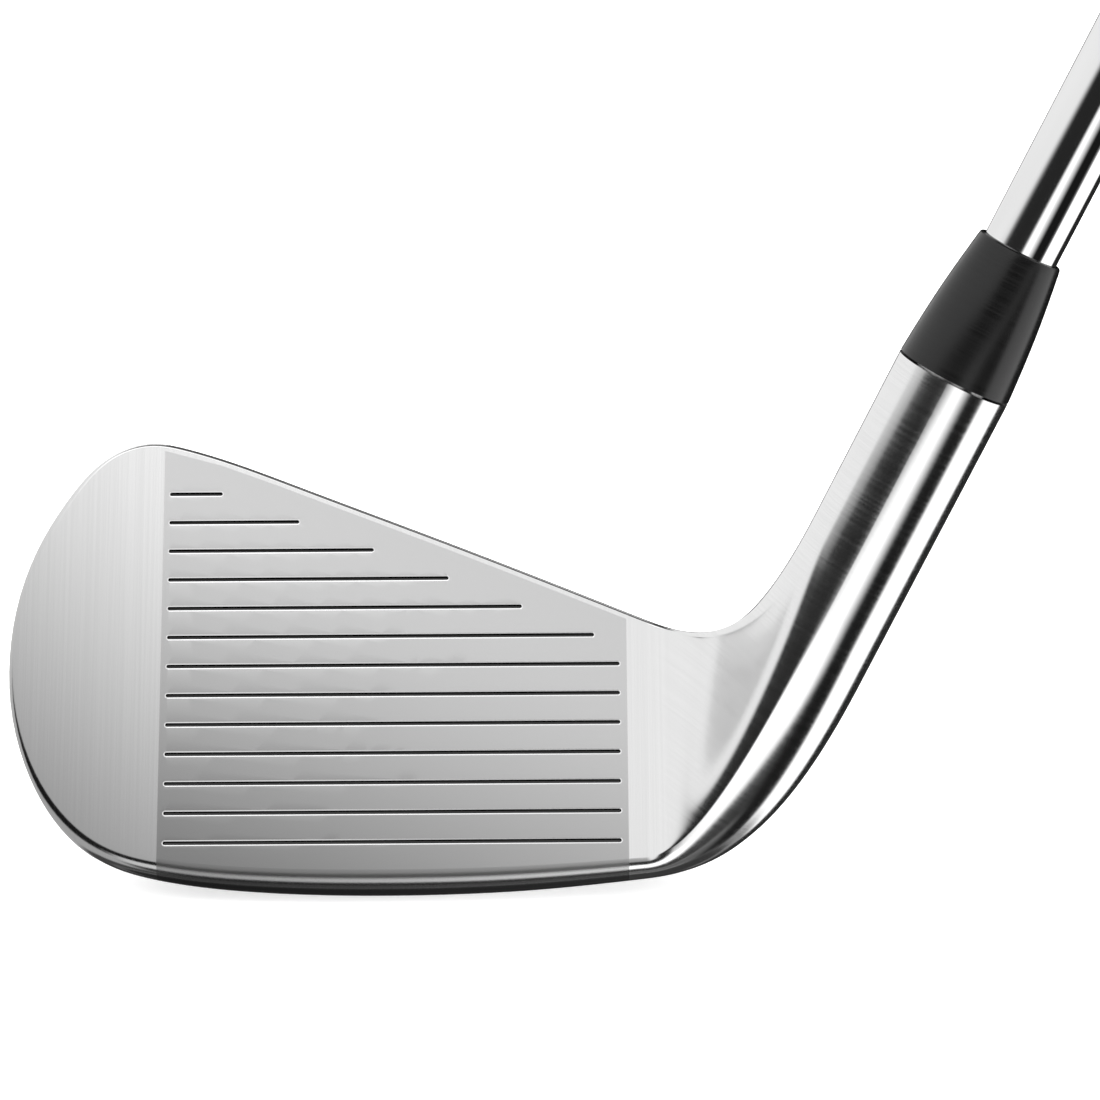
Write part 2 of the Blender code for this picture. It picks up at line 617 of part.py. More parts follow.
def make_shaft(group, looks, line):
    tip_z = HOSEL_TOP - BORE_DEPTH + SHAFT_TIP_ABOVE_BORE
    butt_z = CLUB_LENGTH - CAP_THICKNESS - GAP - CAP_PLUG - GAP
    tip, butt = SHAFT_TIP_DIAMETER / 2.0, SHAFT_BUTT_DIAMETER / 2.0
    outside = [(butt, butt_z)] + shaft_steps() + [(tip, tip_z)]
    inside = [
        (tip - SHAFT_WALL, tip_z), (tip - SHAFT_WALL, FIRST_STEP - STEP_RAMP),
        (butt - SHAFT_WALL, CLUB_LENGTH - GRIP_LENGTH), (butt - SHAFT_WALL, butt_z),
    ]
    turned("shaft", outside + inside, line, looks["chrome"], group)

    pin = tip - SHAFT_WALL - SLIP
    head_top = tip_z - GAP
    pin_profile = (
        (0.0, tip_z + TIP_PIN_LENGTH), (pin, tip_z + TIP_PIN_LENGTH), (pin, head_top),
        (tip, head_top), (tip, head_top - TIP_PIN_HEAD), (0.0, head_top - TIP_PIN_HEAD),
    )
    turned("tip_weight", pin_profile, line, looks["brass"], group, closed=False)

    foot, hole = HOSEL_TOP + GAP, tip + SLIP
    top = foot + FERRULE_LENGTH - GAP
    low, high = HOSEL_DIAMETER / 2.0, hole + FERRULE_TOP_WALL
    side = [(mix(high, low, s + FERRULE_SWELL * math.sin(math.pi * s)), mix(top, foot, s))
            for s in np.linspace(0.0, 1.0, 7)]
    turned("ferrule", side + [(hole, foot), (hole, top)], line, looks["ferrule"], group)

    radii = shaft_steps()
    label_top = CLUB_LENGTH - GRIP_LENGTH - 18.0 * MM
    label_foot = label_top - LABEL_LENGTH
    hug = max(radius for radius, height in radii if height <= label_top + 6.0 * MM) + SLIP
    label = (
        (hug + LABEL_THICKNESS, label_top), (hug + LABEL_THICKNESS, label_foot),
        (hug, label_foot), (hug, label_top),
    )
    turned("shaft_label", label, line, looks["label"], group)


def make_grip(group, looks, line):
    mouth = CLUB_LENGTH - GRIP_LENGTH
    tape_in = SHAFT_BUTT_DIAMETER / 2.0 + SLIP
    tape_out = tape_in + TAPE_THICKNESS
    bore = tape_out + SLIP
    tape_top = CLUB_LENGTH - CAP_THICKNESS - CAP_PLUG - 3.0 * GAP
    tape = (
        (tape_out, tape_top), (tape_out, mouth + 4.0 * MM), (tape_in, mouth + 4.0 * MM), (tape_in, tape_top),
    )
    turned("grip_tape", tape, line, looks["tape"], group)

    top = CLUB_LENGTH - CAP_THICKNESS - GAP
    narrow, wide = bore + GRIP_MOUTH_WALL, bore + GRIP_BUTT_WALL
    rim = wide + GRIP_FLARE
    side = [
        (rim - 0.6 * MM, top), (rim, top - 1.0 * MM), (rim, top - 3.5 * MM),
        (wide + 0.4 * MM, top - 9.0 * MM), (wide, top - 16.0 * MM),
        (mix(narrow, wide, 0.62), top - 70.0 * MM), (mix(narrow, wide, 0.36), top - 130.0 * MM),
        (mix(narrow, wide, 0.16), top - 190.0 * MM), (narrow, mouth + 14.0 * MM),
        (narrow, mouth + 1.0 * MM), (narrow - 0.5 * MM, mouth),
    ]
    turned("grip", side + [(bore, mouth), (bore, top)], line, looks["rubber"], group)

    vent = VENT_DIAMETER / 2.0
    plug = bore - GAP
    cap = (
        (vent, CLUB_LENGTH), (rim - 1.8 * MM, CLUB_LENGTH), (rim - 0.7 * MM, CLUB_LENGTH - 0.7 * MM),
        (rim - 0.6 * MM, top + GAP), (plug, top + GAP), (plug, top - CAP_PLUG + GAP),
        (vent, top - CAP_PLUG + GAP),
    )
    turned("grip_cap", cap, line, looks["cap"], group)


def main():
    for old in list(bpy.data.objects):
        bpy.data.objects.remove(old)
    parts = collection("iron_golf_club")
    cutters = collection("cutters")
    line = bpy.data.objects.new("shaft_line", None)
    parts.objects.link(line)
    line.matrix_world = SHAFT_FRAME
    looks = {
        "steel": material("polished_steel", (0.80, 0.80, 0.80), 1.0, 0.12),
        "face": material("blasted_steel", (0.66, 0.66, 0.66), 1.0, 0.42),
        "tungsten": material("tungsten", (0.35, 0.34, 0.33), 1.0, 0.45),
        "polymer": material("soft_polymer", (0.10, 0.11, 0.13), 0.0, 0.7),
        "pad": material("bonding_pad", (0.06, 0.06, 0.06), 0.0, 0.9),
        "badge": material("badge_metal", (0.30, 0.30, 0.31), 1.0, 0.35),
        "ferrule": material("black_ferrule", (0.012, 0.012, 0.012), 0.0, 0.35),
        "brass": material("brass_pin", (0.75, 0.55, 0.25), 1.0, 0.35),
        "chrome": material("chrome_plate", (0.85, 0.85, 0.85), 1.0, 0.05),
        "label": material("label_film", (0.03, 0.03, 0.035), 0.0, 0.3),
        "tape": material("paper_tape", (0.72, 0.68, 0.58), 0.0, 0.9),
        "rubber": material("grip_rubber", (0.02, 0.02, 0.02), 0.0, 0.75),
        "cap": material("cap_rubber", (0.015, 0.015, 0.015), 0.0, 0.6),
    }
    make_head(parts, cutters, looks, line)
    make_shaft(parts, looks, line)
    make_grip(parts, looks, line)
    bpy.context.view_layer.update()


main()
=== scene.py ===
"""Right-handed mid iron golf club, finished piece by piece round its fixed frame.

Metres throughout: +X from toe to heel, +Y from the striking face to the back, +Z up.
"""

import math

import bmesh
import bpy
import numpy as np
from mathutils import Matrix, Vector


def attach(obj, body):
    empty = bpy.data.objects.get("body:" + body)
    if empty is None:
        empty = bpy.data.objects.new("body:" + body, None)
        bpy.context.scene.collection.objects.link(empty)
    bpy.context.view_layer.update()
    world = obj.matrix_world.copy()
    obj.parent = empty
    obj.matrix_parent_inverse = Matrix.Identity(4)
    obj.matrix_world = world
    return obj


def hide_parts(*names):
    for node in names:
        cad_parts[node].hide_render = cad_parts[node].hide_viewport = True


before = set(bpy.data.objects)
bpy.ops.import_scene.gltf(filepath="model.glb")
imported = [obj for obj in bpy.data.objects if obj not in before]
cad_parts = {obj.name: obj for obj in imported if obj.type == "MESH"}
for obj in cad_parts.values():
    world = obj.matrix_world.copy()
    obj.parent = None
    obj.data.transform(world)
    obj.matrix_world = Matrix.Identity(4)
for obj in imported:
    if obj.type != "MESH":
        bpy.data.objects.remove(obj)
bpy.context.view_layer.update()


# The view: a long lens a little above the club, square to the blade, with the head
# filling the left of the picture and the shaft leaving at its upper right corner.
LENS = 130.1
SENSOR = 36.0
CAMERA_DISTANCE = 0.4727
CAMERA_RISE = math.radians(13.5)
CAMERA_ROLL = math.radians(-0.389)
AIM = Vector((0.0189, 0.0028, 0.0401))

lens = bpy.data.cameras.new("camera")
lens.lens = LENS
lens.sensor_width = SENSOR
camera = bpy.data.objects.new("camera", lens)
bpy.context.scene.collection.objects.link(camera)
stand_off = Vector((0.0, -math.cos(CAMERA_RISE), math.sin(CAMERA_RISE))) * CAMERA_DISTANCE
square_on = Matrix.Rotation(math.radians(90.0) - CAMERA_RISE, 4, "X")
camera.matrix_world = (
    Matrix.Translation(AIM + stand_off) @ square_on @ Matrix.Rotation(CAMERA_ROLL, 4, "Z")
)
bpy.context.scene.camera = camera


# The head: a blade, heel and hosel of carbon steel, forged in one, ground and belt
# polished, with a thin forged face plate welded in and polished off flush. Between toe
# and heel the face is masked and blasted dull, and thirteen scorelines are cut in it.
MM = 0.001
LIE = math.radians(63.5)
LOFT = math.radians(30.0)
AXIS_GROUND_X = 34.7 * MM
AXIS_BEHIND_FOOT = 4.3 * MM

FACE_OUTLINE = (
    (30.0, 1.25), (15.0, 0.31), (0.0, 0.0), (-16.0, 0.33), (-27.0, 1.40), (-33.9, 3.43),
    (-39.1, 7.75), (-42.5, 13.2), (-44.5, 20.0), (-44.9, 26.5), (-44.2, 33.0), (-42.1, 39.9),
    (-38.5, 46.4), (-34.1, 51.15), (-29.6, 52.65), (-25.4, 52.0), (-11.4, 46.95), (6.8, 39.7),
    (30.0, 30.1),
)
OUTLINE_TOE_FOOT = 5
OUTLINE_TOE_TOP = 13
TOE_GRID_X = -24.0 * MM

TOPLINE_DEPTH = 6.6 * MM
TOPLINE_EDGE_RADIUS = 0.5 * MM
TOE_EDGE_RADIUS = 1.25 * MM
LEADING_EDGE_RADIUS = 2.6 * MM
LEADING_EDGE_FALL = 0.2
BACK_EDGE_RADIUS = 1.1 * MM
SOLE_DEPTH = 17.4 * MM
SOLE_DEPTH_FALL = 0.12
BOUNCE = math.radians(10.0)
TRAILING_RISE = math.radians(11.0)
MUSCLE_HEIGHT = 16.5 * MM
SOLE_FLAT_DEPTH = 0.12 * MM

HOSEL_DIAMETER = 13.9 * MM
HOSEL_TOP = 69.5 * MM
BLEND_TOP = 48.0 * MM
BLEND_FOOT = 32.0 * MM
BLEND_PULL = 0.77
BORE_DEPTH = 32.0 * MM
GAP = 0.3 * MM
SLIP = 0.2 * MM

FACE_ROWS = 44
RIM_FRONT, RIM_MAIN, RIM_BACK = 12, 14, 12
TOE_COLUMNS = 26
BLADE_COLUMNS = 36
BLEND_COLUMNS = 56
PER_SPAN = 160


def mix(first, second, share):
    return first + (second - first) * share


def smoothstep(share):
    share = np.clip(share, 0.0, 1.0)
    return share * share * (3.0 - 2.0 * share)


def spline(points, per_span):
    """A natural cubic spline through points, and its unit tangents."""
    points = np.array(points, float)
    chord = np.linalg.norm(np.diff(points, axis=0), axis=1)
    count = len(points)
    system = np.eye(count)
    right = np.zeros_like(points)
    for i in range(1, count - 1):
        before, after = chord[i - 1], chord[i]
        system[i, i - 1:i + 2] = before, 2.0 * (before + after), after
        right[i] = 6.0 * ((points[i + 1] - points[i]) / after - (points[i] - points[i - 1]) / before)
    bend = np.linalg.solve(system, right)
    places, tangents = [], []
    for i in range(count - 1):
        span = chord[i]
        slope = (points[i + 1] - points[i]) / span
        shares = np.linspace(0.0, 1.0, per_span + 1)
        for share in shares if i == count - 2 else shares[:-1]:
            ahead, back = share * span, (1.0 - share) * span
            places.append(
                (bend[i] * back ** 3 + bend[i + 1] * ahead ** 3) / (6.0 * span)
                + (points[i] / span - bend[i] * span / 6.0) * back
                + (points[i + 1] / span - bend[i + 1] * span / 6.0) * ahead
            )
            tangents.append(
                (bend[i + 1] * ahead ** 2 - bend[i] * back ** 2) / (2.0 * span)
                + slope
                - (bend[i + 1] - bend[i]) * span / 6.0
            )
    tangents = np.array(tangents)
    return np.array(places), tangents / np.linalg.norm(tangents, axis=1)[:, None]


OUTLINE, OUTLINE_TANGENT = spline(np.array(FACE_OUTLINE) * MM, PER_SPAN)
OUTWARD = np.stack((-OUTLINE_TANGENT[:, 1], OUTLINE_TANGENT[:, 0]), axis=1)
TOE_FOOT = OUTLINE_TOE_FOOT * PER_SPAN
TOE_TOP = OUTLINE_TOE_TOP * PER_SPAN


def outline_at(index):
    """Point and outward direction at a fractional index of the dense outline."""
    low = min(int(index), len(OUTLINE) - 2)
    share = index - low
    point = mix(OUTLINE[low], OUTLINE[low + 1], share)
    outward = mix(OUTWARD[low], OUTWARD[low + 1], share)
    return point, outward / np.linalg.norm(outward)


def sole_index(x):
    return float(np.interp(-x, -OUTLINE[:TOE_FOOT + 1, 0], np.arange(TOE_FOOT + 1)))


def topline_index(x):
    return float(np.interp(x, OUTLINE[TOE_TOP:, 0], np.arange(TOE_TOP, len(OUTLINE))))


def fall(x, share):
    """What is left of a size that shrinks away from the middle of the blade."""
    return 1.0 - share * (x / (30.0 * MM)) ** 2


def sole_depth(x):
    return SOLE_DEPTH * fall(x, SOLE_DEPTH_FALL)


def back_slope():
    """Slope of the muscle where it leaves the trailing edge."""
    return math.atan(2.0 * (SOLE_DEPTH - TOPLINE_DEPTH) / MUSCLE_HEIGHT)


def back_depth(x, above_trailing_edge):
    share = max(0.0, 1.0 - max(0.0, above_trailing_edge) / MUSCLE_HEIGHT)
    return TOPLINE_DEPTH + (sole_depth(x) - TOPLINE_DEPTH) * share ** 2


def arc(start, radius, heading, end_heading, count):
    """Points along an arc after its start; headings turn from outward to backward."""
    angles = np.linspace(heading, end_heading, count + 1)[1:]
    return [
        (
            start[0] + radius * (math.sin(a) - math.sin(heading)),
            start[1] + radius * (math.cos(heading) - math.cos(a)),
        )
        for a in angles
    ]


def rim_section(x, outward, depth):
    """Rim from the face's edge to the back's edge, as (outward, depth) points."""
    sole = float(smoothstep((-outward[1] - 0.1) / 0.85))
    top = float(smoothstep(outward[1] / 0.9))
    leading = LEADING_EDGE_RADIUS * fall(x, LEADING_EDGE_FALL)
    front_radius = mix(mix(TOE_EDGE_RADIUS, leading, sole), TOPLINE_EDGE_RADIUS, top)
    square = math.radians(90.0)
    first = mix(square, square + LOFT - BOUNCE, sole)
    second = mix(square + math.radians(2.0), square + LOFT + TRAILING_RISE, sole)
    last = mix(2.0 * square, 2.0 * square + back_slope(), sole)
    front_depth = front_radius * (1.0 - math.cos(first))
    back_part = BACK_EDGE_RADIUS * (math.cos(second) - math.cos(last))
    main_radius = (depth - front_depth - back_part) / (math.cos(first) - math.cos(second))
    points = [(0.0, 0.0)]
    points += arc(points[-1], front_radius, 0.0, first, RIM_FRONT)
    points += arc(points[-1], main_radius, first, second, RIM_MAIN)
    points += arc(points[-1], BACK_EDGE_RADIUS, second, last, RIM_BACK)
    return points, main_radius


# The middle section stands on the ground, and the face's lower edge follows from it.
MIDDLE_SECTION, SOLE_RADIUS = rim_section(0.0, (0.0, -1.0), SOLE_DEPTH)
TRAILING_HEIGHT = -MIDDLE_SECTION[-1][0]
EDGE_CENTRE_Y = (LEADING_EDGE_RADIUS - SOLE_RADIUS) * math.sin(BOUNCE)
EDGE_CENTRE_Z = SOLE_RADIUS - SOLE_FLAT_DEPTH + (LEADING_EDGE_RADIUS - SOLE_RADIUS) * math.cos(BOUNCE)
FOOT_Y = EDGE_CENTRE_Y - LEADING_EDGE_RADIUS * math.cos(LOFT)
FOOT_Z = EDGE_CENTRE_Z + LEADING_EDGE_RADIUS * math.sin(LOFT)

# Face plane: X, up the face, and into the head. Shaft axis: +Z runs up the shaft.
FACE_PLANE = Matrix((
    (1.0, 0.0, 0.0, 0.0),
    (0.0, math.sin(LOFT), math.cos(LOFT), FOOT_Y),
    (0.0, math.cos(LOFT), -math.sin(LOFT), FOOT_Z),
    (0.0, 0.0, 0.0, 1.0),
))
SHAFT_LEAN = math.radians(90.0) - LIE
SHAFT_LINE = Matrix.Translation((AXIS_GROUND_X, FOOT_Y + AXIS_BEHIND_FOOT, 0.0)) @ Matrix.Rotation(
    SHAFT_LEAN, 4, "Y"
)


def on_face(x, height, depth):
    return np.array(FACE_PLANE @ Vector((x, height, depth)))


def on_hosel(angle, along):
    """Point on the hosel's cylinder; angle 0 faces forward, 90 degrees the heel."""
    radius = HOSEL_DIAMETER / 2.0
    return np.array(SHAFT_LINE @ Vector((radius * math.sin(angle), -radius * math.cos(angle), along)))


# Rows crowd together at the edges of the face and back, so that the flats stay flat.
ROW_SHARES = 0.5 - 0.5 * np.cos(np.linspace(0.0, math.pi, FACE_ROWS + 1))


def toe_inset(share):
    """How far the back's edge lies from the face's edge round the toe."""
    point, outward = outline_at(mix(TOE_FOOT, TOE_TOP, share))
    depth = mix(sole_depth(point[0]), TOPLINE_DEPTH, share)
    return outward * rim_section(point[0], outward, depth)[0][-1][0]


TOE_POINTS = np.array([outline_at(mix(TOE_FOOT, TOE_TOP, share))[0] for share in ROW_SHARES])
TOE_CHORD = OUTLINE[TOE_FOOT] + (OUTLINE[TOE_TOP] - OUTLINE[TOE_FOOT]) * ROW_SHARES[:, None]
TOE_BENDS = TOE_POINTS - TOE_CHORD
TOE_INSETS = np.array([toe_inset(share) for share in ROW_SHARES])


def head_column(foot_index, top_index, bulge):
    """One closed row of points round the blade, from the face's foot over the topline."""
    foot, foot_out = outline_at(foot_index)
    top, top_out = outline_at(top_index)
    rows = foot + (top - foot) * ROW_SHARES[:, None] + bulge * TOE_BENDS
    front = [on_face(row[0], row[1], 0.0) for row in rows]
    sole_rim, _ = rim_section(foot[0], foot_out, sole_depth(foot[0]))
    top_rim, _ = rim_section(top[0], top_out, TOPLINE_DEPTH)
    over_top = [on_face(*(top + top_out * o), d) for o, d in top_rim[1:]]
    under = [on_face(*(foot + foot_out * o), d) for o, d in sole_rim[1:]]
    foot_inset = foot_out * sole_rim[-1][0]
    top_inset = top_out * top_rim[-1][0]
    straight = foot_inset + (top_inset - foot_inset) * ROW_SHARES[:, None]
    insets = mix(straight, TOE_INSETS, bulge)
    back = []
    for row, inset in list(zip(rows, insets))[-2:0:-1]:
        place = row + inset
        back.append(on_face(*place, back_depth(foot[0], place[1] - (foot + foot_inset)[1])))
    return front + over_top + back + under[::-1]


def blade_columns():
    columns = []
    for i in range(TOE_COLUMNS + 1):
        bulge = 1.0 - i / TOE_COLUMNS
        foot_index = mix(sole_index(TOE_GRID_X), TOE_FOOT, bulge)
        top_index = mix(topline_index(TOE_GRID_X), TOE_TOP, bulge)
        columns.append(head_column(foot_index, top_index, bulge))
    for x in np.linspace(TOE_GRID_X, OUTLINE[0][0], BLADE_COLUMNS + 1)[1:]:
        columns.append(head_column(sole_index(x), topline_index(x), 0.0))
    return columns


def hosel_angles():
    """Angle on the hosel of each point of a column."""
    rim = RIM_FRONT + RIM_MAIN + RIM_BACK
    back = FACE_ROWS + rim
    under = back + FACE_ROWS
    marks = (
        (0, -12.0), (FACE_ROWS, -62.0), (back, -118.0), (under, -200.0), (under + RIM_BACK, -235.0),
        (under + RIM_BACK + RIM_MAIN, -300.0), (under + rim, -372.0),
    )
    indices = np.arange(under + rim)
    return np.radians(np.interp(indices, [m[0] for m in marks], [m[1] for m in marks]))


def blend_columns(last, before):
    """Columns from the heel end of the blade to the hosel, each row a Bezier curve."""
    rise = np.array((math.cos(LIE), 0.0, math.sin(LIE)))
    starts = np.array(last)
    runs = starts - np.array(before)
    runs /= np.linalg.norm(runs, axis=1)[:, None]
    handles = []
    for start, run, angle in zip(starts, runs, hosel_angles()):
        end = on_hosel(angle, mix(BLEND_TOP, BLEND_FOOT, 0.5 + 0.5 * math.sin(angle)))
        flat = np.array(((run[0], rise[0]), (run[2], rise[2])))
        reach = np.linalg.solve(flat, (end - start)[[0, 2]]) * BLEND_PULL
        handles.append((start, start + run * reach[0], end - rise * reach[1], end))
    columns = []
    for t in np.linspace(0.0, 1.0, BLEND_COLUMNS + 1)[1:]:
        weights = ((1 - t) ** 3, 3 * t * (1 - t) ** 2, 3 * t * t * (1 - t), t ** 3)
        columns.append([sum(w * p for w, p in zip(weights, handle)) for handle in handles])
    columns.append([on_hosel(angle, HOSEL_TOP) for angle in hosel_angles()])
    return columns


def toe_rows(first):
    """Inner points of the rim round the toe, between the edges of the face and the back."""
    rim = RIM_FRONT + RIM_MAIN + RIM_BACK
    to_face = FACE_PLANE.inverted()
    rows = []
    for j in range(1, FACE_ROWS):
        point, outward = outline_at(mix(TOE_FOOT, TOE_TOP, ROW_SHARES[j]))
        back_edge = first[2 * FACE_ROWS + rim - j]
        depth = (to_face @ Vector(back_edge)).z
        section, _ = rim_section(point[0], outward, depth)
        places = [on_face(*(point + outward * o), d) for o, d in section]
        miss = back_edge - places[-1]
        rows.append([places[k] + miss * (k / rim) for k in range(1, rim)])
    return rows


def clear_selection():
    if bpy.context.mode != "OBJECT":
        bpy.ops.object.mode_set(mode="OBJECT")
    bpy.ops.object.select_all(action="DESELECT")


def work_on(piece):
    clear_selection()
    piece.select_set(True)
    bpy.context.view_layer.objects.active = piece


def loft_head():
    """Blade, heel and hosel in one skin, closed round the toe and at the hosel's end."""
    blade = blade_columns()
    columns = blade + blend_columns(blade[-1], blade[-2])
    around = len(columns[0])
    rim = RIM_FRONT + RIM_MAIN + RIM_BACK
    skin = bmesh.new()
    rings = [[skin.verts.new(point) for point in column] for column in columns]
    for near, far in zip(rings[:-1], rings[1:]):
        for j in range(around):
            k = (j + 1) % around
            skin.faces.new((near[j], near[k], far[k], far[j]))
    skin.faces.new(rings[-1])
    toe = rings[0]
    rows = [[toe[0]] + toe[:-rim - 1:-1]]
    for j, places in enumerate(toe_rows(columns[0]), start=1):
        inner = [skin.verts.new(place) for place in places]
        rows.append([toe[j]] + inner + [toe[2 * FACE_ROWS + rim - j]])
    rows.append(toe[FACE_ROWS:FACE_ROWS + rim + 1])
    for low, high in zip(rows[:-1], rows[1:]):
        for k in range(rim):
            skin.faces.new((low[k], low[k + 1], high[k + 1], high[k]))
    bmesh.ops.recalc_face_normals(skin, faces=skin.faces)
    mesh = bpy.data.meshes.new("head")
    skin.to_mesh(mesh)
    skin.free()
    made = bpy.data.objects.new("head", mesh)
    bpy.context.scene.collection.objects.link(made)
    return made


def cut_away(piece, cutter):
    """Cuts one piece with another, and throws the cutter away."""
    saw = piece.modifiers.new("cut", "BOOLEAN")
    saw.operation = "DIFFERENCE"
    saw.solver = "EXACT"
    saw.object = cutter
    work_on(piece)
    bpy.ops.object.modifier_apply(modifier=saw.name)
    bpy.data.objects.remove(cutter)


def move_selected(step):
    bpy.ops.transform.translate(value=step)


def choose(piece, wanted):
    """In edit mode, selects the points for which wanted(x, y, z) holds."""
    bpy.ops.object.mode_set(mode="OBJECT")
    mesh = piece.data
    for polygon in mesh.polygons:
        polygon.select = False
    for edge in mesh.edges:
        edge.select = False
    for vertex in mesh.vertices:
        vertex.select = bool(wanted(*vertex.co))
    bpy.ops.object.mode_set(mode="EDIT")
    bpy.ops.mesh.select_mode(type="VERT")


def lay_in_place(piece, place):
    """Puts a piece in its place, and its place into its mesh, with its faces outward."""
    piece.matrix_world = place
    work_on(piece)
    bpy.ops.object.transform_apply(location=True, rotation=True, scale=True)
    bpy.ops.object.mode_set(mode="EDIT")
    bpy.ops.mesh.select_all(action="SELECT")
    bpy.ops.mesh.normals_make_consistent(inside=False)
    bpy.ops.object.mode_set(mode="OBJECT")


def flat_solid(outline, place, start, end):
    """A solid with that outline, from start to end along the place's own Z."""
    blank = bmesh.new()
    face = blank.faces.new([blank.verts.new((x, y, start)) for x, y in outline])
    pushed = bmesh.ops.extrude_face_region(blank, geom=[face])
    raised = [item for item in pushed["geom"] if isinstance(item, bmesh.types.BMVert)]
    bmesh.ops.translate(blank, verts=raised, vec=(0.0, 0.0, end - start))
    bmesh.ops.recalc_face_normals(blank, faces=blank.faces)
    mesh = bpy.data.meshes.new("flat_solid")
    blank.to_mesh(mesh)
    blank.free()
    made = bpy.data.objects.new("flat_solid", mesh)
    bpy.context.scene.collection.objects.link(made)
    lay_in_place(made, place)
    return made


head = loft_head()

# The shaft's bore, and the flat that the sole stands on.
TIP_RADIUS = 9.02 * MM / 2.0
BORE_SIDES = 96
CUT_PAST = 10.0 * MM                # how far a cutter runs on past the steel
GROUND_SIDE = 0.4
clear_selection()
bore_length = BORE_DEPTH + CUT_PAST
bpy.ops.mesh.primitive_cylinder_add(
    vertices=BORE_SIDES, radius=TIP_RADIUS + SLIP, depth=bore_length
)
bore = bpy.context.object
bore_middle = HOSEL_TOP - BORE_DEPTH + bore_length / 2.0
lay_in_place(bore, SHAFT_LINE @ Matrix.Translation((0.0, 0.0, bore_middle)))
cut_away(head, bore)
clear_selection()
bpy.ops.mesh.primitive_cube_add(size=GROUND_SIDE, location=(0.0, 0.0, -GROUND_SIDE / 2.0))
cut_away(head, bpy.context.object)

# The hollow inside the muscle, closed by the face plate.
FACE_THICKNESS = 2.0 * MM
HOLLOW_TOE_X = -29.0 * MM
HOLLOW_HEEL_X = 24.0 * MM
HOLLOW_FOOT = 5.6 * MM
HOLLOW_HEIGHT = 11.5 * MM
HOLLOW_CHAMFER = 1.5 * MM
HOLLOW_BACK_SHARES = (0.2, 0.45, 0.7, 1.0)
BACK_WALL = 2.5 * MM
heights = [HOLLOW_FOOT + HOLLOW_HEIGHT * share for share in HOLLOW_BACK_SHARES]
hollow_back = [(h, back_depth(HOLLOW_TOE_X, h - TRAILING_HEIGHT) - BACK_WALL) for h in heights]
hollow = [(HOLLOW_FOOT, FACE_THICKNESS), (HOLLOW_FOOT, hollow_back[0][1] - HOLLOW_CHAMFER)]
hollow += hollow_back + [(HOLLOW_FOOT + HOLLOW_HEIGHT, FACE_THICKNESS)]
along_blade = FACE_PLANE @ Matrix((
    (0.0, 0.0, 1.0, 0.0),
    (1.0, 0.0, 0.0, 0.0),
    (0.0, 1.0, 0.0, 0.0),
    (0.0, 0.0, 0.0, 1.0),
))
cut_away(head, flat_solid(hollow, along_blade, HOLLOW_TOE_X, HOLLOW_HEEL_X))

# The recess that the badge sits in.
BADGE_TOE_X = -31.0 * MM
BADGE_HEEL_X = 10.0 * MM
BADGE_FOOT = 28.5 * MM
BADGE_MARGIN = 6.0 * MM
RECESS_DEPTH = 2.6 * MM


def badge_outline(inset):
    """The blade's outline moved inward, and cut off straight round the badge."""
    margin = BADGE_MARGIN + inset
    places = OUTLINE - OUTWARD * margin
    edge = OUTLINE[::8]
    clear = [np.linalg.norm(edge - place, axis=1).min() > margin - 0.02 * MM for place in places]
    places = places[clear]
    places[:, 0] = np.clip(places[:, 0], BADGE_TOE_X + inset, BADGE_HEEL_X - inset)
    places[:, 1] = np.maximum(places[:, 1], BADGE_FOOT + inset)
    kept = [places[0]]
    waiting = [places[0]]
    for place in places[1:]:
        run = place - kept[-1]
        length = np.linalg.norm(run)
        if length < 0.05 * MM:
            continue
        across = np.array((-run[1], run[0])) / length
        if max(abs((skipped - kept[-1]) @ across) for skipped in waiting) > 0.01 * MM:
            kept.append(waiting[-1])
            waiting = []
        waiting.append(place)
    if np.linalg.norm(waiting[-1] - kept[0]) > 0.1 * MM:
        kept.append(waiting[-1])
    return [tuple(place) for place in kept]


recess = badge_outline(0.0)
recess_floor = TOPLINE_DEPTH - RECESS_DEPTH
cut_away(head, flat_solid(recess, FACE_PLANE, recess_floor, TOPLINE_DEPTH + CUT_PAST))

# The scorelines: cutters with round ends and rounded lips, one above the other up the face.
SCORELINE_COUNT = 13
SCORELINE_PITCH = 3.6 * MM
SCORELINE_WIDTH = 0.76 * MM
SCORELINE_DEPTH = 0.45 * MM
SCORELINE_LIP = 0.17 * MM           # width of its rounded lips
SCORELINE_FOOT = 3.35 * MM
SCORELINE_HALF = 27.3 * MM
SCORELINE_MARGIN = 3.95 * MM
SCORELINE_SIDES = 28
SCORELINE_FLOOR = 0.7               # width of its flat floor, as a share of its throat


def scoreline_end(height):
    """Heel end of a scoreline, the topline cutting the upper ones short."""
    index = np.arange(TOE_TOP, len(OUTLINE))
    end = float(np.interp(-(height + SCORELINE_MARGIN), -OUTLINE[index, 1], OUTLINE[index, 0]))
    return min(end, SCORELINE_HALF)


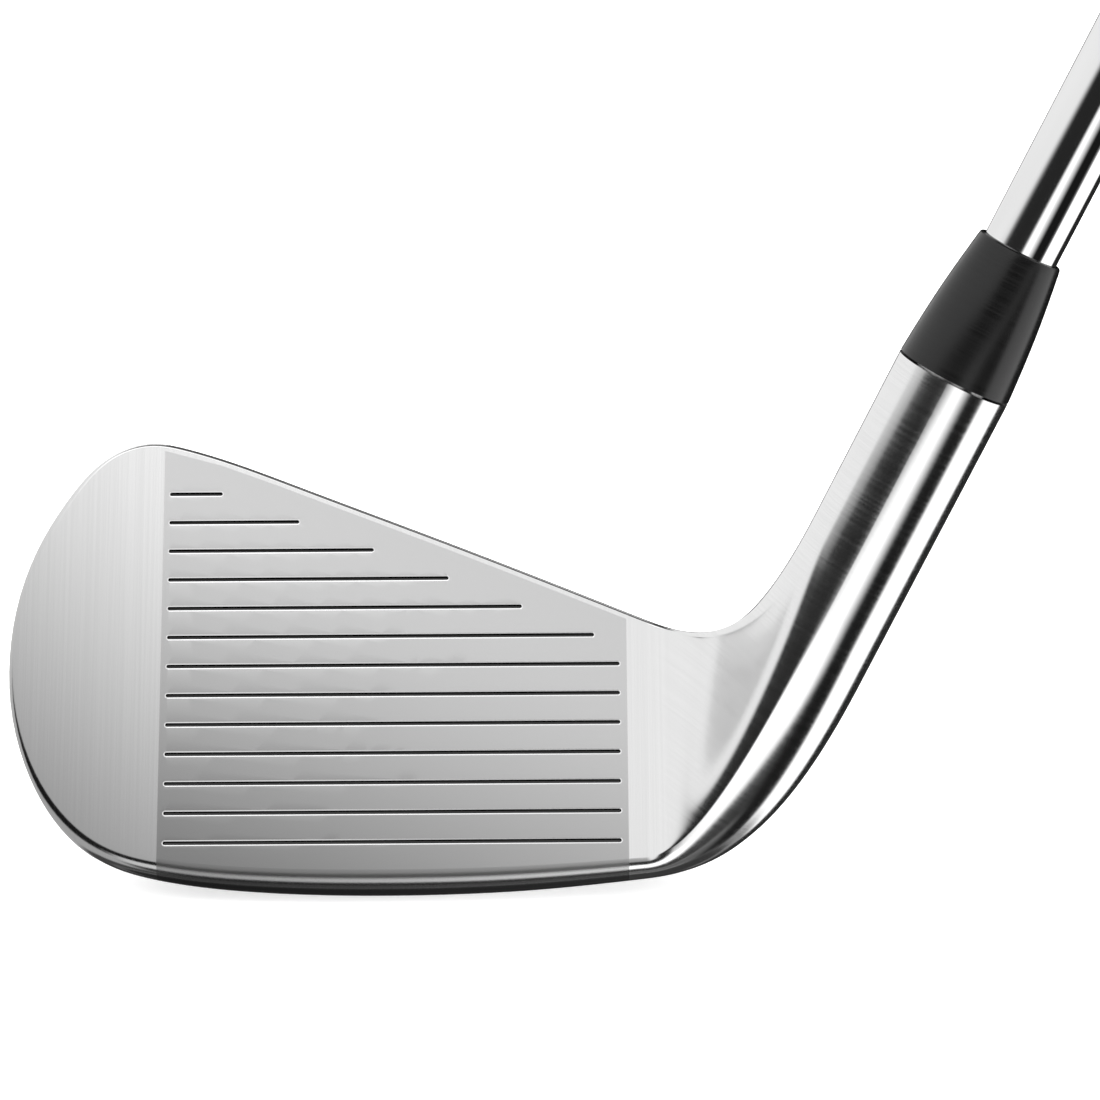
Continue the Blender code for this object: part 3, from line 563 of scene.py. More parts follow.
def scoreline_cutter(height):
    """Its rings go from the floor out past the face: radius, and share of the depth."""
    end_radius = SCORELINE_WIDTH / 2.0
    throat = end_radius - SCORELINE_LIP
    clear_selection()
    bpy.ops.mesh.primitive_circle_add(
        vertices=SCORELINE_SIDES, radius=throat * SCORELINE_FLOOR, fill_type="NGON",
        rotation=(0.0, 0.0, math.pi / SCORELINE_SIDES),
    )
    cutter = bpy.context.object
    bpy.ops.object.mode_set(mode="EDIT")
    bpy.ops.mesh.select_all(action="SELECT")
    move_selected((0.0, 0.0, SCORELINE_DEPTH))
    rings = (
        (throat * 0.95, 0.5), (throat, 0.2), (throat + 0.1 * SCORELINE_LIP, 0.035),
        (end_radius, 0.0), (end_radius + SCORELINE_LIP, -0.6),
    )
    radius, depth = throat * SCORELINE_FLOOR, SCORELINE_DEPTH
    for next_radius, depth_share in rings:
        next_depth = depth_share * SCORELINE_DEPTH
        step = (0.0, 0.0, next_depth - depth)
        bpy.ops.mesh.extrude_region_move(TRANSFORM_OT_translate={"value": step})
        grow = next_radius / radius
        bpy.ops.transform.resize(value=(grow, grow, 1.0), center_override=(0.0, 0.0, next_depth))
        radius, depth = next_radius, next_depth
    bpy.ops.mesh.edge_face_add()
    bpy.ops.object.mode_set(mode="OBJECT")
    bpy.ops.object.transform_apply(location=True, rotation=True, scale=True)
    choose(cutter, lambda x, y, z: x < 0.0)
    move_selected((-SCORELINE_HALF + end_radius, 0.0, 0.0))
    choose(cutter, lambda x, y, z: x > 0.0)
    move_selected((scoreline_end(height) - end_radius, 0.0, 0.0))
    lay_in_place(cutter, FACE_PLANE @ Matrix.Translation((0.0, height, 0.0)))
    return cutter


cutters = [
    scoreline_cutter(SCORELINE_FOOT + line * SCORELINE_PITCH) for line in range(SCORELINE_COUNT)
]
clear_selection()
for cutter in cutters:
    cutter.select_set(True)
bpy.context.view_layer.objects.active = cutters[0]
bpy.ops.object.join()
cut_away(head, cutters[0])

HEAD_CREASE = math.radians(16.0)    # edges that turn more than this stay sharp
work_on(head)
bpy.ops.object.shade_smooth_by_angle(angle=HEAD_CREASE)
even = head.modifiers.new("even", "WEIGHTED_NORMAL")
even.keep_sharp = True
even.weight = 90
bpy.ops.object.modifier_apply(modifier=even.name)

# Its steel: mirror-like where belt polished, with fine lines up the blade and round the
# hosel, dull where blasted, and a softer satin on the back. Shade is painted into its
# colour: darker towards the foot, and dark inside the scorelines.
BLAST_TOE_X = -27.85 * MM
BLAST_HEEL_X = 28.0 * MM
BLAST_DEPTH = 3.4 * MM
BLAST_EDGE = 0.06 * MM
TOPLINE_BAND = 0.42 * MM            # polished again after blasting
TOPLINE_STOPS = 9
HOSEL_LINES = (29.0 * MM, 37.0 * MM)
FINE_LINE, BROAD_LINE = 0.13 * MM, 0.35 * MM
HOSEL_FINE_LINE, HOSEL_BROAD_LINE = 0.12 * MM, 0.3 * MM
BLAST_GRAIN = 0.14 * MM
RELIEF = 0.02 * MM
POLISHED_RELIEF, BLASTED_RELIEF = 0.03, 0.22
POLISHED_ROUGH = (0.13, 0.17)
BLASTED_ROUGH = 0.3
BLASTED_EDGE_ROUGH = 0.2
POLISHED_TONES = (0.89, 0.93)
# Painted shade on the blasted face, darkest at its foot:
BLASTED_PAINTED_SHADE_TONES = (0.20, 0.74)        # from foot to top
# Painted shade on the polished toe, as shares of its tone, darkest at its foot:
TOE_PAINTED_SHADE_SHARES = (0.25, 1.06)            # of the polished tone, from foot to top
LIP_TONE = 0.95
# Painted shade, dark inside the scorelines below their lips:
GROOVE_PAINTED_SHADE_TONE = 0.06
BACK_SATIN_END = 30.0 * MM
SATIN_ROUGH = 0.38
SATIN_METALLIC = 0.86


class Nodes:
    """The nodes of a material or of the world, added and wired in one line each."""

    def __init__(self, owner):
        owner.use_nodes = True
        self.owner = owner
        self.tree = owner.node_tree

    def add(self, kind, settings=None, **inputs):
        node = self.tree.nodes.new("ShaderNode" + kind)
        for key, value in (settings or {}).items():
            setattr(node, key, value)
        for key, value in inputs.items():
            socket = int(key[1:]) if key[1:].isdigit() else key.replace("_", " ")
            self.join(value, node.inputs[socket])
        return node.outputs[0]

    def join(self, value, socket):
        if isinstance(value, bpy.types.NodeSocket):
            self.tree.links.new(value, socket)
        else:
            socket.default_value = value

    def place(self, size=(1.0, 1.0, 1.0), turned=(0.0, 0.0, 0.0), moved=(0.0, 0.0, 0.0)):
        """Object coordinates in a turned and moved frame, measured in steps of that size."""
        coordinates = self.tree.nodes.new("ShaderNodeTexCoord").outputs["Object"]
        return self.add(
            "Mapping", {"vector_type": "TEXTURE"},
            Vector=coordinates, Location=moved, Rotation=turned, Scale=size,
        )

    def on_blade(self, *size):
        return self.place(size, (math.radians(90.0) - LOFT, 0.0, 0.0), (0.0, FOOT_Y, FOOT_Z))

    def on_shaft(self, *size):
        return self.place(size, (0.0, SHAFT_LEAN, 0.0), SHAFT_LINE.translation)

    def split(self, vector):
        """The three numbers of a vector."""
        node = self.tree.nodes.new("ShaderNodeSeparateXYZ")
        self.join(vector, node.inputs[0])
        return node.outputs

    def math(self, operation, first, second=0.0):
        return self.add("Math", {"operation": operation}, i0=first, i1=second)

    def ramp(self, value, low, high, start=0.0, end=1.0):
        """Smooth step from start to end as the value goes from low to high."""
        return self.add(
            "MapRange", {"interpolation_type": "SMOOTHSTEP"},
            i0=value, i1=low, i2=high, i3=start, i4=end,
        )

    def between(self, value, low, high, soft):
        rise = self.ramp(value, low - soft, low + soft)
        drop = self.ramp(value, high - soft, high + soft, 1.0, 0.0)
        return self.math("MULTIPLY", rise, drop)

    def noise(self, vector, detail=1.0):
        return self.add("TexNoise", Vector=vector, Scale=1.0, Detail=detail)

    def blend(self, share, first, second):
        node = self.tree.nodes.new("ShaderNodeMix")
        node.data_type = "RGBA"
        for index, value in ((0, share), (6, first), (7, second)):
            self.join(value, node.inputs[index])
        return node.outputs[2]

    def blend_numbers(self, share, first, second):
        node = self.tree.nodes.new("ShaderNodeMix")
        for index, value in ((0, share), (2, first), (3, second)):
            self.join(value, node.inputs[index])
        return node.outputs[0]

    def bump(self, height, strength, distance):
        return self.add("Bump", Height=height, Strength=strength, Distance=distance)

    def finish(self, **sockets):
        shader = self.tree.nodes["Principled BSDF"]
        for name, value in sockets.items():
            self.join(value, shader.inputs[name.replace("_", " ")])
        return self.owner


def material_nodes(name):
    return Nodes(bpy.data.materials.new(name))


def grey(value):
    return (value, value, value, 1.0)


def head_steel():
    steel = material_nodes("polished_and_blasted_steel_painted_shade")
    x, up, outward = steel.split(steel.on_blade(1.0, 1.0, 1.0))
    depth = steel.math("MULTIPLY", outward, -1.0)
    blasted = steel.math(
        "MULTIPLY",
        steel.between(x, BLAST_TOE_X, BLAST_HEEL_X, BLAST_EDGE),
        steel.ramp(depth, BLAST_DEPTH, BLAST_DEPTH + 2.0 * BLAST_EDGE, 1.0, 0.0),
    )
    # The topline's front edge is polished after blasting, in a narrow band.
    stops = np.linspace(BLAST_TOE_X, BLAST_HEEL_X, TOPLINE_STOPS)
    tops = [outline_at(topline_index(stop))[0][1] for stop in stops]
    topline = tops[0]
    for start, end, low, high in zip(stops[:-1], stops[1:], tops[:-1], tops[1:]):
        step = steel.add("MapRange", i0=x, i1=start, i2=end, i3=0.0, i4=high - low)
        topline = steel.math("ADD", topline, step)
    below_top = steel.math("SUBTRACT", topline, up)
    masked = steel.ramp(below_top, TOPLINE_BAND, TOPLINE_BAND + BLAST_EDGE)
    # The scorelines are cut after it: their lips are bright, and painted shade darkens them below the
    # lips.
    above_foot = steel.ramp(up, SCORELINE_FOOT - 0.6 * MM, SCORELINE_FOOT - 0.5 * MM)
    across_lines = steel.between(x, -SCORELINE_HALF, SCORELINE_HALF, 0.05 * MM)
    above_floor = steel.ramp(depth, SCORELINE_DEPTH, 1.2 * SCORELINE_DEPTH, 1.0, 0.0)
    among_lines = steel.math("MULTIPLY", above_foot, across_lines)
    among_lines = steel.math("MULTIPLY", among_lines, above_floor)
    in_scoreline = steel.math("MULTIPLY", steel.ramp(depth, 0.001 * MM, 0.004 * MM), among_lines)
    painted_groove_shade = steel.math("MULTIPLY", steel.ramp(depth, 0.02 * MM, 0.05 * MM), among_lines)
    painted_groove_shade = steel.math("MULTIPLY", painted_groove_shade, masked)
    masked = steel.math("MULTIPLY", masked, steel.math("SUBTRACT", 1.0, in_scoreline))
    blasted = steel.math("MULTIPLY", blasted, masked)
    # Belt lines run up the blade, and round the hosel.
    blade_fine = steel.noise(steel.on_blade(FINE_LINE, 30.0 * MM, 30.0 * MM))
    blade_broad = steel.noise(steel.on_blade(BROAD_LINE, 80.0 * MM, 80.0 * MM))
    hosel_fine = steel.noise(steel.on_shaft(12.0 * MM, 12.0 * MM, HOSEL_FINE_LINE))
    hosel_broad = steel.noise(steel.on_shaft(25.0 * MM, 25.0 * MM, HOSEL_BROAD_LINE))
    on_hosel_side = steel.ramp(x, *HOSEL_LINES)
    fine = steel.blend_numbers(on_hosel_side, blade_fine, hosel_fine)
    broad = steel.blend_numbers(on_hosel_side, blade_broad, hosel_broad)
    belt = steel.blend_numbers(0.5, fine, broad)
    grain = steel.noise(steel.place((BLAST_GRAIN, BLAST_GRAIN, BLAST_GRAIN)))
    relief = steel.blend_numbers(blasted, belt, grain)
    round_edge = steel.ramp(depth, 0.02 * MM, 0.5 * MM)
    polished_rough = steel.ramp(belt, 0.35, 0.65, *POLISHED_ROUGH)
    blasted_rough = steel.blend_numbers(round_edge, BLASTED_ROUGH, BLASTED_EDGE_ROUGH)
    rough = steel.blend_numbers(blasted, polished_rough, blasted_rough)
    # Painted shade: both finishes are painted darker towards the foot, the polished one only at the
    # toe, where its top is painted a little lighter.
    tone = steel.ramp(belt, 0.35, 0.65, *POLISHED_TONES)
    upward = steel.math("ADD", steel.math("MULTIPLY", x, 0.45), up)
    blasted_tone_painted_shade = steel.ramp(upward, -24.0 * MM, 38.0 * MM, *BLASTED_PAINTED_SHADE_TONES)
    toe_painted_shade = steel.ramp(steel.math("ADD", x, up), -60.0 * MM, 34.0 * MM, *TOE_PAINTED_SHADE_SHARES)
    polished_painted_shade = steel.ramp(x, BLAST_TOE_X, BLAST_HEEL_X, toe_painted_shade, 1.0)
    tone = steel.math("MULTIPLY", tone, polished_painted_shade)
    tone = steel.blend_numbers(in_scoreline, tone, LIP_TONE)
    # Painted shade inside the scorelines, below their lips.
    tone = steel.blend_numbers(painted_groove_shade, tone, GROOVE_PAINTED_SHADE_TONE)
    tint = steel.tree.nodes.new("ShaderNodeCombineColor")
    for socket in tint.inputs:
        steel.join(steel.blend_numbers(blasted, tone, blasted_tone_painted_shade), socket)
    # The back, from toe to heel, is bead blasted to a softer satin.
    surface = steel.tree.nodes.new("ShaderNodeNewGeometry")
    to_back = steel.tree.nodes.new("ShaderNodeVectorMath")
    to_back.operation = "DOT_PRODUCT"
    steel.join(surface.outputs["Normal"], to_back.inputs[0])
    steel.join(FACE_PLANE.col[2][:3], to_back.inputs[1])
    facing_back = steel.ramp(to_back.outputs["Value"], 0.55, 0.8)
    short_of_hosel = steel.ramp(x, BACK_SATIN_END - 4.0 * MM, BACK_SATIN_END, 1.0, 0.0)
    satin_back = steel.math("MULTIPLY", facing_back, short_of_hosel)
    rough = steel.blend_numbers(satin_back, rough, SATIN_ROUGH)
    relief = steel.blend_numbers(satin_back, relief, grain)
    grainy = steel.math("MAXIMUM", blasted, satin_back)
    strength = steel.blend_numbers(grainy, POLISHED_RELIEF, BLASTED_RELIEF)
    return steel.finish(
        Base_Color=tint.outputs[0],
        Metallic=steel.blend_numbers(satin_back, 1.0, SATIN_METALLIC),
        Roughness=rough,
        Normal=steel.bump(relief, strength, RELIEF),
    )


head.data.materials.clear()
head.data.materials.append(head_steel())
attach(head, "root")
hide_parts("head_body", "face_insert")


# The ferrule: a black turned plastic collar, pushed down the shaft onto the hosel's end
# and dressed with a cloth until it runs flush from the hosel to the shaft.
FERRULE_LENGTH = 16.7 * MM
FERRULE_TOP_WALL = 0.4 * MM
FERRULE_SWELL = 0.12                # of the taper, bulging outward at its middle
FERRULE_LIP = 0.15 * MM
TURNED_SIDES = 128
TURNED_CREASE = math.radians(32.0)


def turned(name, profile, shape=None):
    """A closed profile of (radius, height) points spun about the shaft line. The shape
    function may move its points first, as (x, y, z) rows in the shaft's own frame."""
    clear_selection()
    mesh = bpy.data.meshes.new(name)
    count = len(profile)
    mesh.from_pydata(
        [(radius, 0.0, height) for radius, height in profile],
        [(i, (i + 1) % count) for i in range(count)], [],
    )
    piece = bpy.data.objects.new(name, mesh)
    bpy.context.scene.collection.objects.link(piece)
    work_on(piece)
    bpy.ops.object.mode_set(mode="EDIT")
    bpy.ops.mesh.select_all(action="SELECT")
    bpy.ops.mesh.spin(
        steps=TURNED_SIDES, angle=2.0 * math.pi, center=(0.0, 0.0, 0.0), axis=(0.0, 0.0, 1.0)
    )
    bpy.ops.mesh.select_all(action="SELECT")
    bpy.ops.mesh.remove_doubles(threshold=0.000001)
    bpy.ops.object.mode_set(mode="OBJECT")
    if shape:
        points = np.empty(len(piece.data.vertices) * 3)
        piece.data.vertices.foreach_get("co", points)
        piece.data.vertices.foreach_set("co", shape(points.reshape(-1, 3)).ravel())
    lay_in_place(piece, SHAFT_LINE)
    bpy.ops.object.shade_smooth_by_angle(angle=TURNED_CREASE)
    return piece


ferrule_foot = HOSEL_TOP + GAP
ferrule_hole = TIP_RADIUS + SLIP
ferrule_top = ferrule_foot + FERRULE_LENGTH - GAP
foot_radius, top_radius = HOSEL_DIAMETER / 2.0, ferrule_hole + FERRULE_TOP_WALL
ferrule_side = []
for share in np.linspace(0.0, 1.0, 33):
    swollen = share + FERRULE_SWELL * math.sin(math.pi * share)
    ferrule_side.append((mix(top_radius, foot_radius, swollen), mix(ferrule_top, ferrule_foot, share)))
ferrule_side[0] = (top_radius - FERRULE_LIP, ferrule_top)
ferrule_side.insert(1, (top_radius, ferrule_top - FERRULE_LIP))
ferrule_inside = [(ferrule_hole, ferrule_foot), (ferrule_hole, ferrule_top)]
ferrule = turned("ferrule_collar", ferrule_side + ferrule_inside)


def ferrule_plastic():
    plastic = material_nodes("dressed_black_plastic")
    rings = plastic.noise(plastic.on_shaft(40.0 * MM, 40.0 * MM, 0.2 * MM))
    return plastic.finish(
        Base_Color=plastic.blend(plastic.ramp(rings, 0.3, 0.7), grey(0.003), grey(0.005)),
        Roughness=plastic.ramp(rings, 0.3, 0.7, 0.2, 0.26),
        Normal=plastic.bump(rings, 0.02, RELIEF),
    )


ferrule.data.materials.append(ferrule_plastic())
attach(ferrule, "root")
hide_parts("ferrule")


# The shaft: a drawn steel tube with twelve steps from butt to tip, chrome plated over
# polished steel. Its parallel tip is glued in the hosel.
CLUB_LENGTH = 939.8 * MM
BUTT_RADIUS = 15.24 * MM / 2.0
SHAFT_WALL = 0.5 * MM
SHAFT_TIP_ABOVE_BORE = 2.0 * MM
SHAFT_STEPS = 12
FIRST_STEP = 250.0 * MM
STEP_RAMP = 3.0 * MM
GRIP_LENGTH = 267.0 * MM
LAST_STEP_BELOW_GRIP = 12.0 * MM
CAP_THICKNESS = 3.2 * MM
CAP_PLUG = 3.0 * MM


def shaft_steps():
    """Radii and heights down the outside of the shaft, butt first."""
    last_step = CLUB_LENGTH - GRIP_LENGTH - LAST_STEP_BELOW_GRIP
    heights = np.linspace(FIRST_STEP, last_step, SHAFT_STEPS)
    radii = np.linspace(TIP_RADIUS, BUTT_RADIUS, SHAFT_STEPS + 1)
    profile = []
    for i in reversed(range(SHAFT_STEPS)):
        for share in np.linspace(0.0, 1.0, 5):
            radius = mix(radii[i + 1], radii[i], float(smoothstep(share)))
            profile.append((radius, heights[i] - STEP_RAMP * share))
    return profile


tip_z = HOSEL_TOP - BORE_DEPTH + SHAFT_TIP_ABOVE_BORE
butt_z = CLUB_LENGTH - CAP_THICKNESS - CAP_PLUG - 2.0 * GAP
shaft_profile = [(BUTT_RADIUS, butt_z)] + shaft_steps() + [
    (TIP_RADIUS, tip_z), (TIP_RADIUS - SHAFT_WALL, tip_z),
    (TIP_RADIUS - SHAFT_WALL, FIRST_STEP - STEP_RAMP),
    (BUTT_RADIUS - SHAFT_WALL, CLUB_LENGTH - GRIP_LENGTH), (BUTT_RADIUS - SHAFT_WALL, butt_z),
]
shaft = turned("shaft_tube", shaft_profile)


def chrome():
    plate = material_nodes("chrome_plate_over_steel")
    cloudy = plate.noise(plate.on_shaft(4.0 * MM, 4.0 * MM, 40.0 * MM))
    return plate.finish(
        Base_Color=plate.blend(plate.ramp(cloudy, 0.3, 0.7), grey(0.88), grey(0.93)),
        Metallic=1.0,
        Roughness=plate.ramp(cloudy, 0.3, 0.7, 0.05, 0.08),
        Normal=plate.bump(cloudy, 0.02, RELIEF),
    )


shaft.data.materials.append(chrome())
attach(shaft, "root")
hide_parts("shaft")


# The label: a band of printed film round the shaft below the grip, with plain stripes.
LABEL_LENGTH = 38.0 * MM
LABEL_THICKNESS = 0.35 * MM
LABEL_BELOW_GRIP = 18.0 * MM
FILM_EDGE = 0.1 * MM
STRIPE_MARGIN = 3.0 * MM
STRIPE_WIDTH = 1.2 * MM
THIN_STRIPE_WIDTH = 0.4 * MM
label_top = CLUB_LENGTH - GRIP_LENGTH - LABEL_BELOW_GRIP
label_foot = label_top - LABEL_LENGTH
label_in = max(r for r, h in shaft_steps() if h <= label_top + 6.0 * MM) + SLIP
label_out = label_in + LABEL_THICKNESS
label = turned("shaft_band", [
    (label_out - FILM_EDGE, label_top), (label_out, label_top - FILM_EDGE),
    (label_out, label_foot + FILM_EDGE), (label_out - FILM_EDGE, label_foot),
    (label_in, label_foot), (label_in, label_top),
])


def label_film():
    film = material_nodes("printed_film")
    along = film.split(film.on_shaft(1.0, 1.0, 1.0))[2]
    stripes = 0.0
    for foot, width in (
        (label_foot + STRIPE_MARGIN, STRIPE_WIDTH),
        (label_foot + STRIPE_MARGIN + 2.0 * STRIPE_WIDTH, THIN_STRIPE_WIDTH),
        (label_top - STRIPE_MARGIN - STRIPE_WIDTH, STRIPE_WIDTH),
    ):
        stripe = film.between(along, foot, foot + width, 0.05 * MM)
        stripes = film.math("ADD", stripes, stripe)
    print_grain = film.noise(film.on_shaft(0.4 * MM, 0.4 * MM, 0.4 * MM))
    ink = film.blend(print_grain, grey(0.018), grey(0.03))
    return film.finish(
        Base_Color=film.blend(stripes, ink, grey(0.55)),
        Metallic=film.math("MULTIPLY", stripes, 0.8),
        Roughness=film.ramp(print_grain, 0.3, 0.7, 0.22, 0.32),
        Normal=film.bump(print_grain, 0.05, RELIEF),
    )


label.data.materials.append(label_film())
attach(label, "root")
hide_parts("shaft_label")


# The grip: black rubber moulded over a core, slid over the tape, thicker towards the
# butt, with a tread of crossed grooves and smooth collars at its mouth and butt.
TAPE_THICKNESS = 0.35 * MM
GRIP_MOUTH_WALL = 1.3 * MM
GRIP_BUTT_WALL = 4.6 * MM
GRIP_FLARE = 1.6 * MM
TREAD_GROOVES = 26
TREAD_PITCH = 58.0 * MM             # along the grip, for one turn of a groove
TREAD_DEPTH = 0.32 * MM
TREAD_WIDTH = 0.30                  # of a groove, as a share of their spacing
TREAD_RING = 0.8 * MM
TREAD_FADE = 2.0 * MM               # where the tread runs out at both ends

mouth = CLUB_LENGTH - GRIP_LENGTH
grip_bore = BUTT_RADIUS + 2.0 * SLIP + TAPE_THICKNESS
grip_top = CLUB_LENGTH - CAP_THICKNESS - GAP
narrow, wide = grip_bore + GRIP_MOUTH_WALL, grip_bore + GRIP_BUTT_WALL
grip_rim = wide + GRIP_FLARE
grip_marks = [
    (grip_rim - 0.6 * MM, grip_top), (grip_rim, grip_top - 1.0 * MM), (grip_rim, grip_top - 3.5 * MM),
    (wide + 0.4 * MM, grip_top - 9.0 * MM), (wide, grip_top - 16.0 * MM),
    (mix(narrow, wide, 0.62), grip_top - 70.0 * MM), (mix(narrow, wide, 0.36), grip_top - 130.0 * MM),
    (mix(narrow, wide, 0.16), grip_top - 190.0 * MM), (narrow, mouth + 14.0 * MM),
    (narrow, mouth + 1.0 * MM), (narrow - 0.5 * MM, mouth),
]
tread_top, tread_foot = grip_top - 20.0 * MM, mouth + 16.0 * MM
mark_heights = [height for _, height in grip_marks][::-1]
mark_radii = [radius for radius, _ in grip_marks][::-1]
grip_heights = np.concatenate((
    np.linspace(grip_top - 16.0 * MM, tread_top, 4)[1:-1],
    np.linspace(tread_top, tread_foot, int((tread_top - tread_foot) / TREAD_RING)),
))
grip_radii = np.interp(grip_heights, mark_heights, mark_radii)
grip_side = grip_marks[:5] + list(zip(grip_radii, grip_heights)) + grip_marks[-3:]


def groove(turns):
    """1 along the middle of each groove, 0 on the lands between."""
    off = np.abs(turns - np.round(turns))
    return 1.0 - smoothstep((off - TREAD_WIDTH / 4.0) / (TREAD_WIDTH / 4.0))


def tread(points):
    angle = np.arctan2(points[:, 1], points[:, 0]) / (2.0 * math.pi)
    radius = np.hypot(points[:, 0], points[:, 1])
    height = points[:, 2]
    lift = height / TREAD_PITCH
    rising = groove(TREAD_GROOVES * (angle + lift))
    falling = groove(TREAD_GROOVES * (angle - lift))
    cut = np.maximum(rising, falling)
    fade = smoothstep((height - tread_foot) / TREAD_FADE)
    fade = fade * smoothstep((tread_top - height) / TREAD_FADE)
    outer = radius > grip_bore + 0.5 * GRIP_MOUTH_WALL
    shrink = 1.0 - TREAD_DEPTH * cut * fade * outer / radius
    points[:, 0] *= shrink
    points[:, 1] *= shrink
    return points


grip = turned("rubber_grip", grip_side + [(grip_bore, mouth), (grip_bore, grip_top)], tread)


def rubber(name, dark, light):
    compound = material_nodes(name)
    speckle = compound.noise(compound.place((0.5 * MM, 0.5 * MM, 0.5 * MM)), 3.0)
    wear = compound.noise(compound.place((18.0 * MM, 18.0 * MM, 18.0 * MM)), 2.0)
    return compound.finish(
        Base_Color=compound.blend(compound.ramp(speckle, 0.35, 0.65), grey(dark), grey(light)),
        Roughness=compound.ramp(wear, 0.3, 0.7, 0.55, 0.72),
        Normal=compound.bump(speckle, 0.25, 0.05 * MM),
    )


grip.data.materials.append(rubber("grip_compound", 0.012, 0.02))
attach(grip, "root")
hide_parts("grip")


# The cap: a moulded rubber disc that closes the butt, with a vent hole for fitting.
VENT_RADIUS = 3.5 * MM / 2.0
cap_plug = grip_bore - GAP
cap = turned("butt_cap", [
    (VENT_RADIUS + 0.3 * MM, CLUB_LENGTH), (grip_rim - 4.6 * MM, CLUB_LENGTH),
    (grip_rim - 4.2 * MM, CLUB_LENGTH - 0.3 * MM), (grip_rim - 3.6 * MM, CLUB_LENGTH - 0.3 * MM),
    (grip_rim - 3.2 * MM, CLUB_LENGTH), (grip_rim - 1.8 * MM, CLUB_LENGTH),
    (grip_rim - 1.15 * MM, CLUB_LENGTH - 0.2 * MM), (grip_rim - 0.7 * MM, CLUB_LENGTH - 0.7 * MM),
    (grip_rim - 0.6 * MM, grip_top + GAP), (cap_plug, grip_top + GAP),
    (cap_plug, grip_top - CAP_PLUG + GAP), (VENT_RADIUS, grip_top - CAP_PLUG + GAP),
    (VENT_RADIUS, CLUB_LENGTH - 0.3 * MM),
])
cap.data.materials.append(rubber("cap_compound", 0.008, 0.013))
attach(cap, "root")
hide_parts("grip_cap")


# The badge: a thin dark alloy plate with a sunk panel, pressed from sheet and glued on
# its pad in the recess of the back.
PAD_THICKNESS = 0.5 * MM
BADGE_THICKNESS = 0.8 * MM
PANEL_MARGIN = 1.6 * MM
PANEL_DEPTH = 0.25 * MM
badge_start = recess_floor + PAD_THICKNESS + 2.0 * GAP
badge_back = badge_start + BADGE_THICKNESS
badge = flat_solid(badge_outline(GAP), FACE_PLANE, badge_start, badge_back)
badge.name = badge.data.name = "back_plate"
to_blade = FACE_PLANE.inverted()
badge_middle = badge_start + BADGE_THICKNESS / 2.0
choose(badge, lambda x, y, z: (to_blade @ Vector((x, y, z))).z > badge_middle)
bpy.ops.mesh.select_mode(type="FACE")
bpy.ops.mesh.inset(thickness=0.12 * MM, depth=0.0)
bpy.ops.mesh.inset(thickness=PANEL_MARGIN, depth=0.0)
bpy.ops.mesh.inset(thickness=0.15 * MM, depth=-PANEL_DEPTH)
bpy.ops.object.mode_set(mode="OBJECT")


def badge_alloy():
    alloy = material_nodes("dark_badge_alloy")
    depth = alloy.math("MULTIPLY", alloy.split(alloy.on_blade(1.0, 1.0, 1.0))[2], -1.0)
    panel = alloy.ramp(depth, badge_back - 0.2 * MM, badge_back - 0.1 * MM, 1.0, 0.0)
    lines = alloy.noise(alloy.on_blade(20.0 * MM, 0.12 * MM, 20.0 * MM))
    return alloy.finish(
        Base_Color=alloy.blend(panel, grey(0.32), grey(0.10)),
        Metallic=1.0,
        Roughness=alloy.ramp(lines, 0.3, 0.7, 0.26, 0.38),
        Normal=alloy.bump(lines, 0.1, RELIEF),
    )


badge.data.materials.append(badge_alloy())
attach(badge, "root")
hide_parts("back_badge")


# Inside the head and the shaft, out of sight: the two tungsten blocks and the polymer
# core in the hollow, the badge's pad, the pin in the shaft's tip, and the grip's tape.
def plain_stock(name, dark, light, metallic, rough, grain_size):
    stock = material_nodes(name)
    grain = stock.noise(stock.place((grain_size, grain_size, grain_size)), 3.0)
    return stock.finish(
        Base_Color=stock.blend(stock.ramp(grain, 0.3, 0.7), dark, light),
        Metallic=metallic,
        Roughness=stock.ramp(grain, 0.3, 0.7, rough - 0.05, rough + 0.05),
        Normal=stock.bump(grain, 0.15, 0.05 * MM),
    )


tungsten = plain_stock("sintered_tungsten", grey(0.28), grey(0.36), 1.0, 0.45, 0.4 * MM)
polymer = plain_stock("soft_core_polymer", grey(0.08), grey(0.12), 0.0, 0.7, 1.5 * MM)
pad = plain_stock("foam_pad", grey(0.04), grey(0.07), 0.0, 0.9, 0.3 * MM)
brass = plain_stock(
    "turned_brass", (0.70, 0.50, 0.22, 1.0), (0.80, 0.60, 0.28, 1.0), 1.0, 0.3, 0.5 * MM
)
tape = plain_stock(
    "crepe_tape", (0.66, 0.62, 0.52, 1.0), (0.76, 0.72, 0.62, 1.0), 0.0, 0.9, 0.6 * MM
)
for node, look in (
    ("toe_weight", tungsten), ("heel_weight", tungsten), ("polymer_core", polymer),
    ("badge_pad", pad), ("tip_weight", brass), ("grip_tape", tape),
):
    for material_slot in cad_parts[node].material_slots:
        material_slot.material = look


# The studio: a pale floor, a large soft light from above, and pale walls all round with
# brighter and darker panels on them, for the steel to reflect.
FLOOR_SIDE = 60.0
FLOOR_BELOW_SOLE = 0.05 * MM
FLOOR_GLOW = 0.6
clear_selection()
bpy.ops.mesh.primitive_plane_add(size=FLOOR_SIDE, location=(0.0, 0.0, -FLOOR_BELOW_SOLE))
floor = bpy.context.object
floor.name = "floor"
floor.visible_glossy = False
paper = material_nodes("pale_floor")
paper_grain = paper.noise(paper.place((3.0 * MM, 3.0 * MM, 3.0 * MM)))
floor.data.materials.append(paper.finish(
    Base_Color=paper.blend(paper_grain, grey(0.86), grey(0.89)),
    Roughness=0.9,
    Emission_Color=grey(1.0),
    Emission_Strength=FLOOR_GLOW,
))

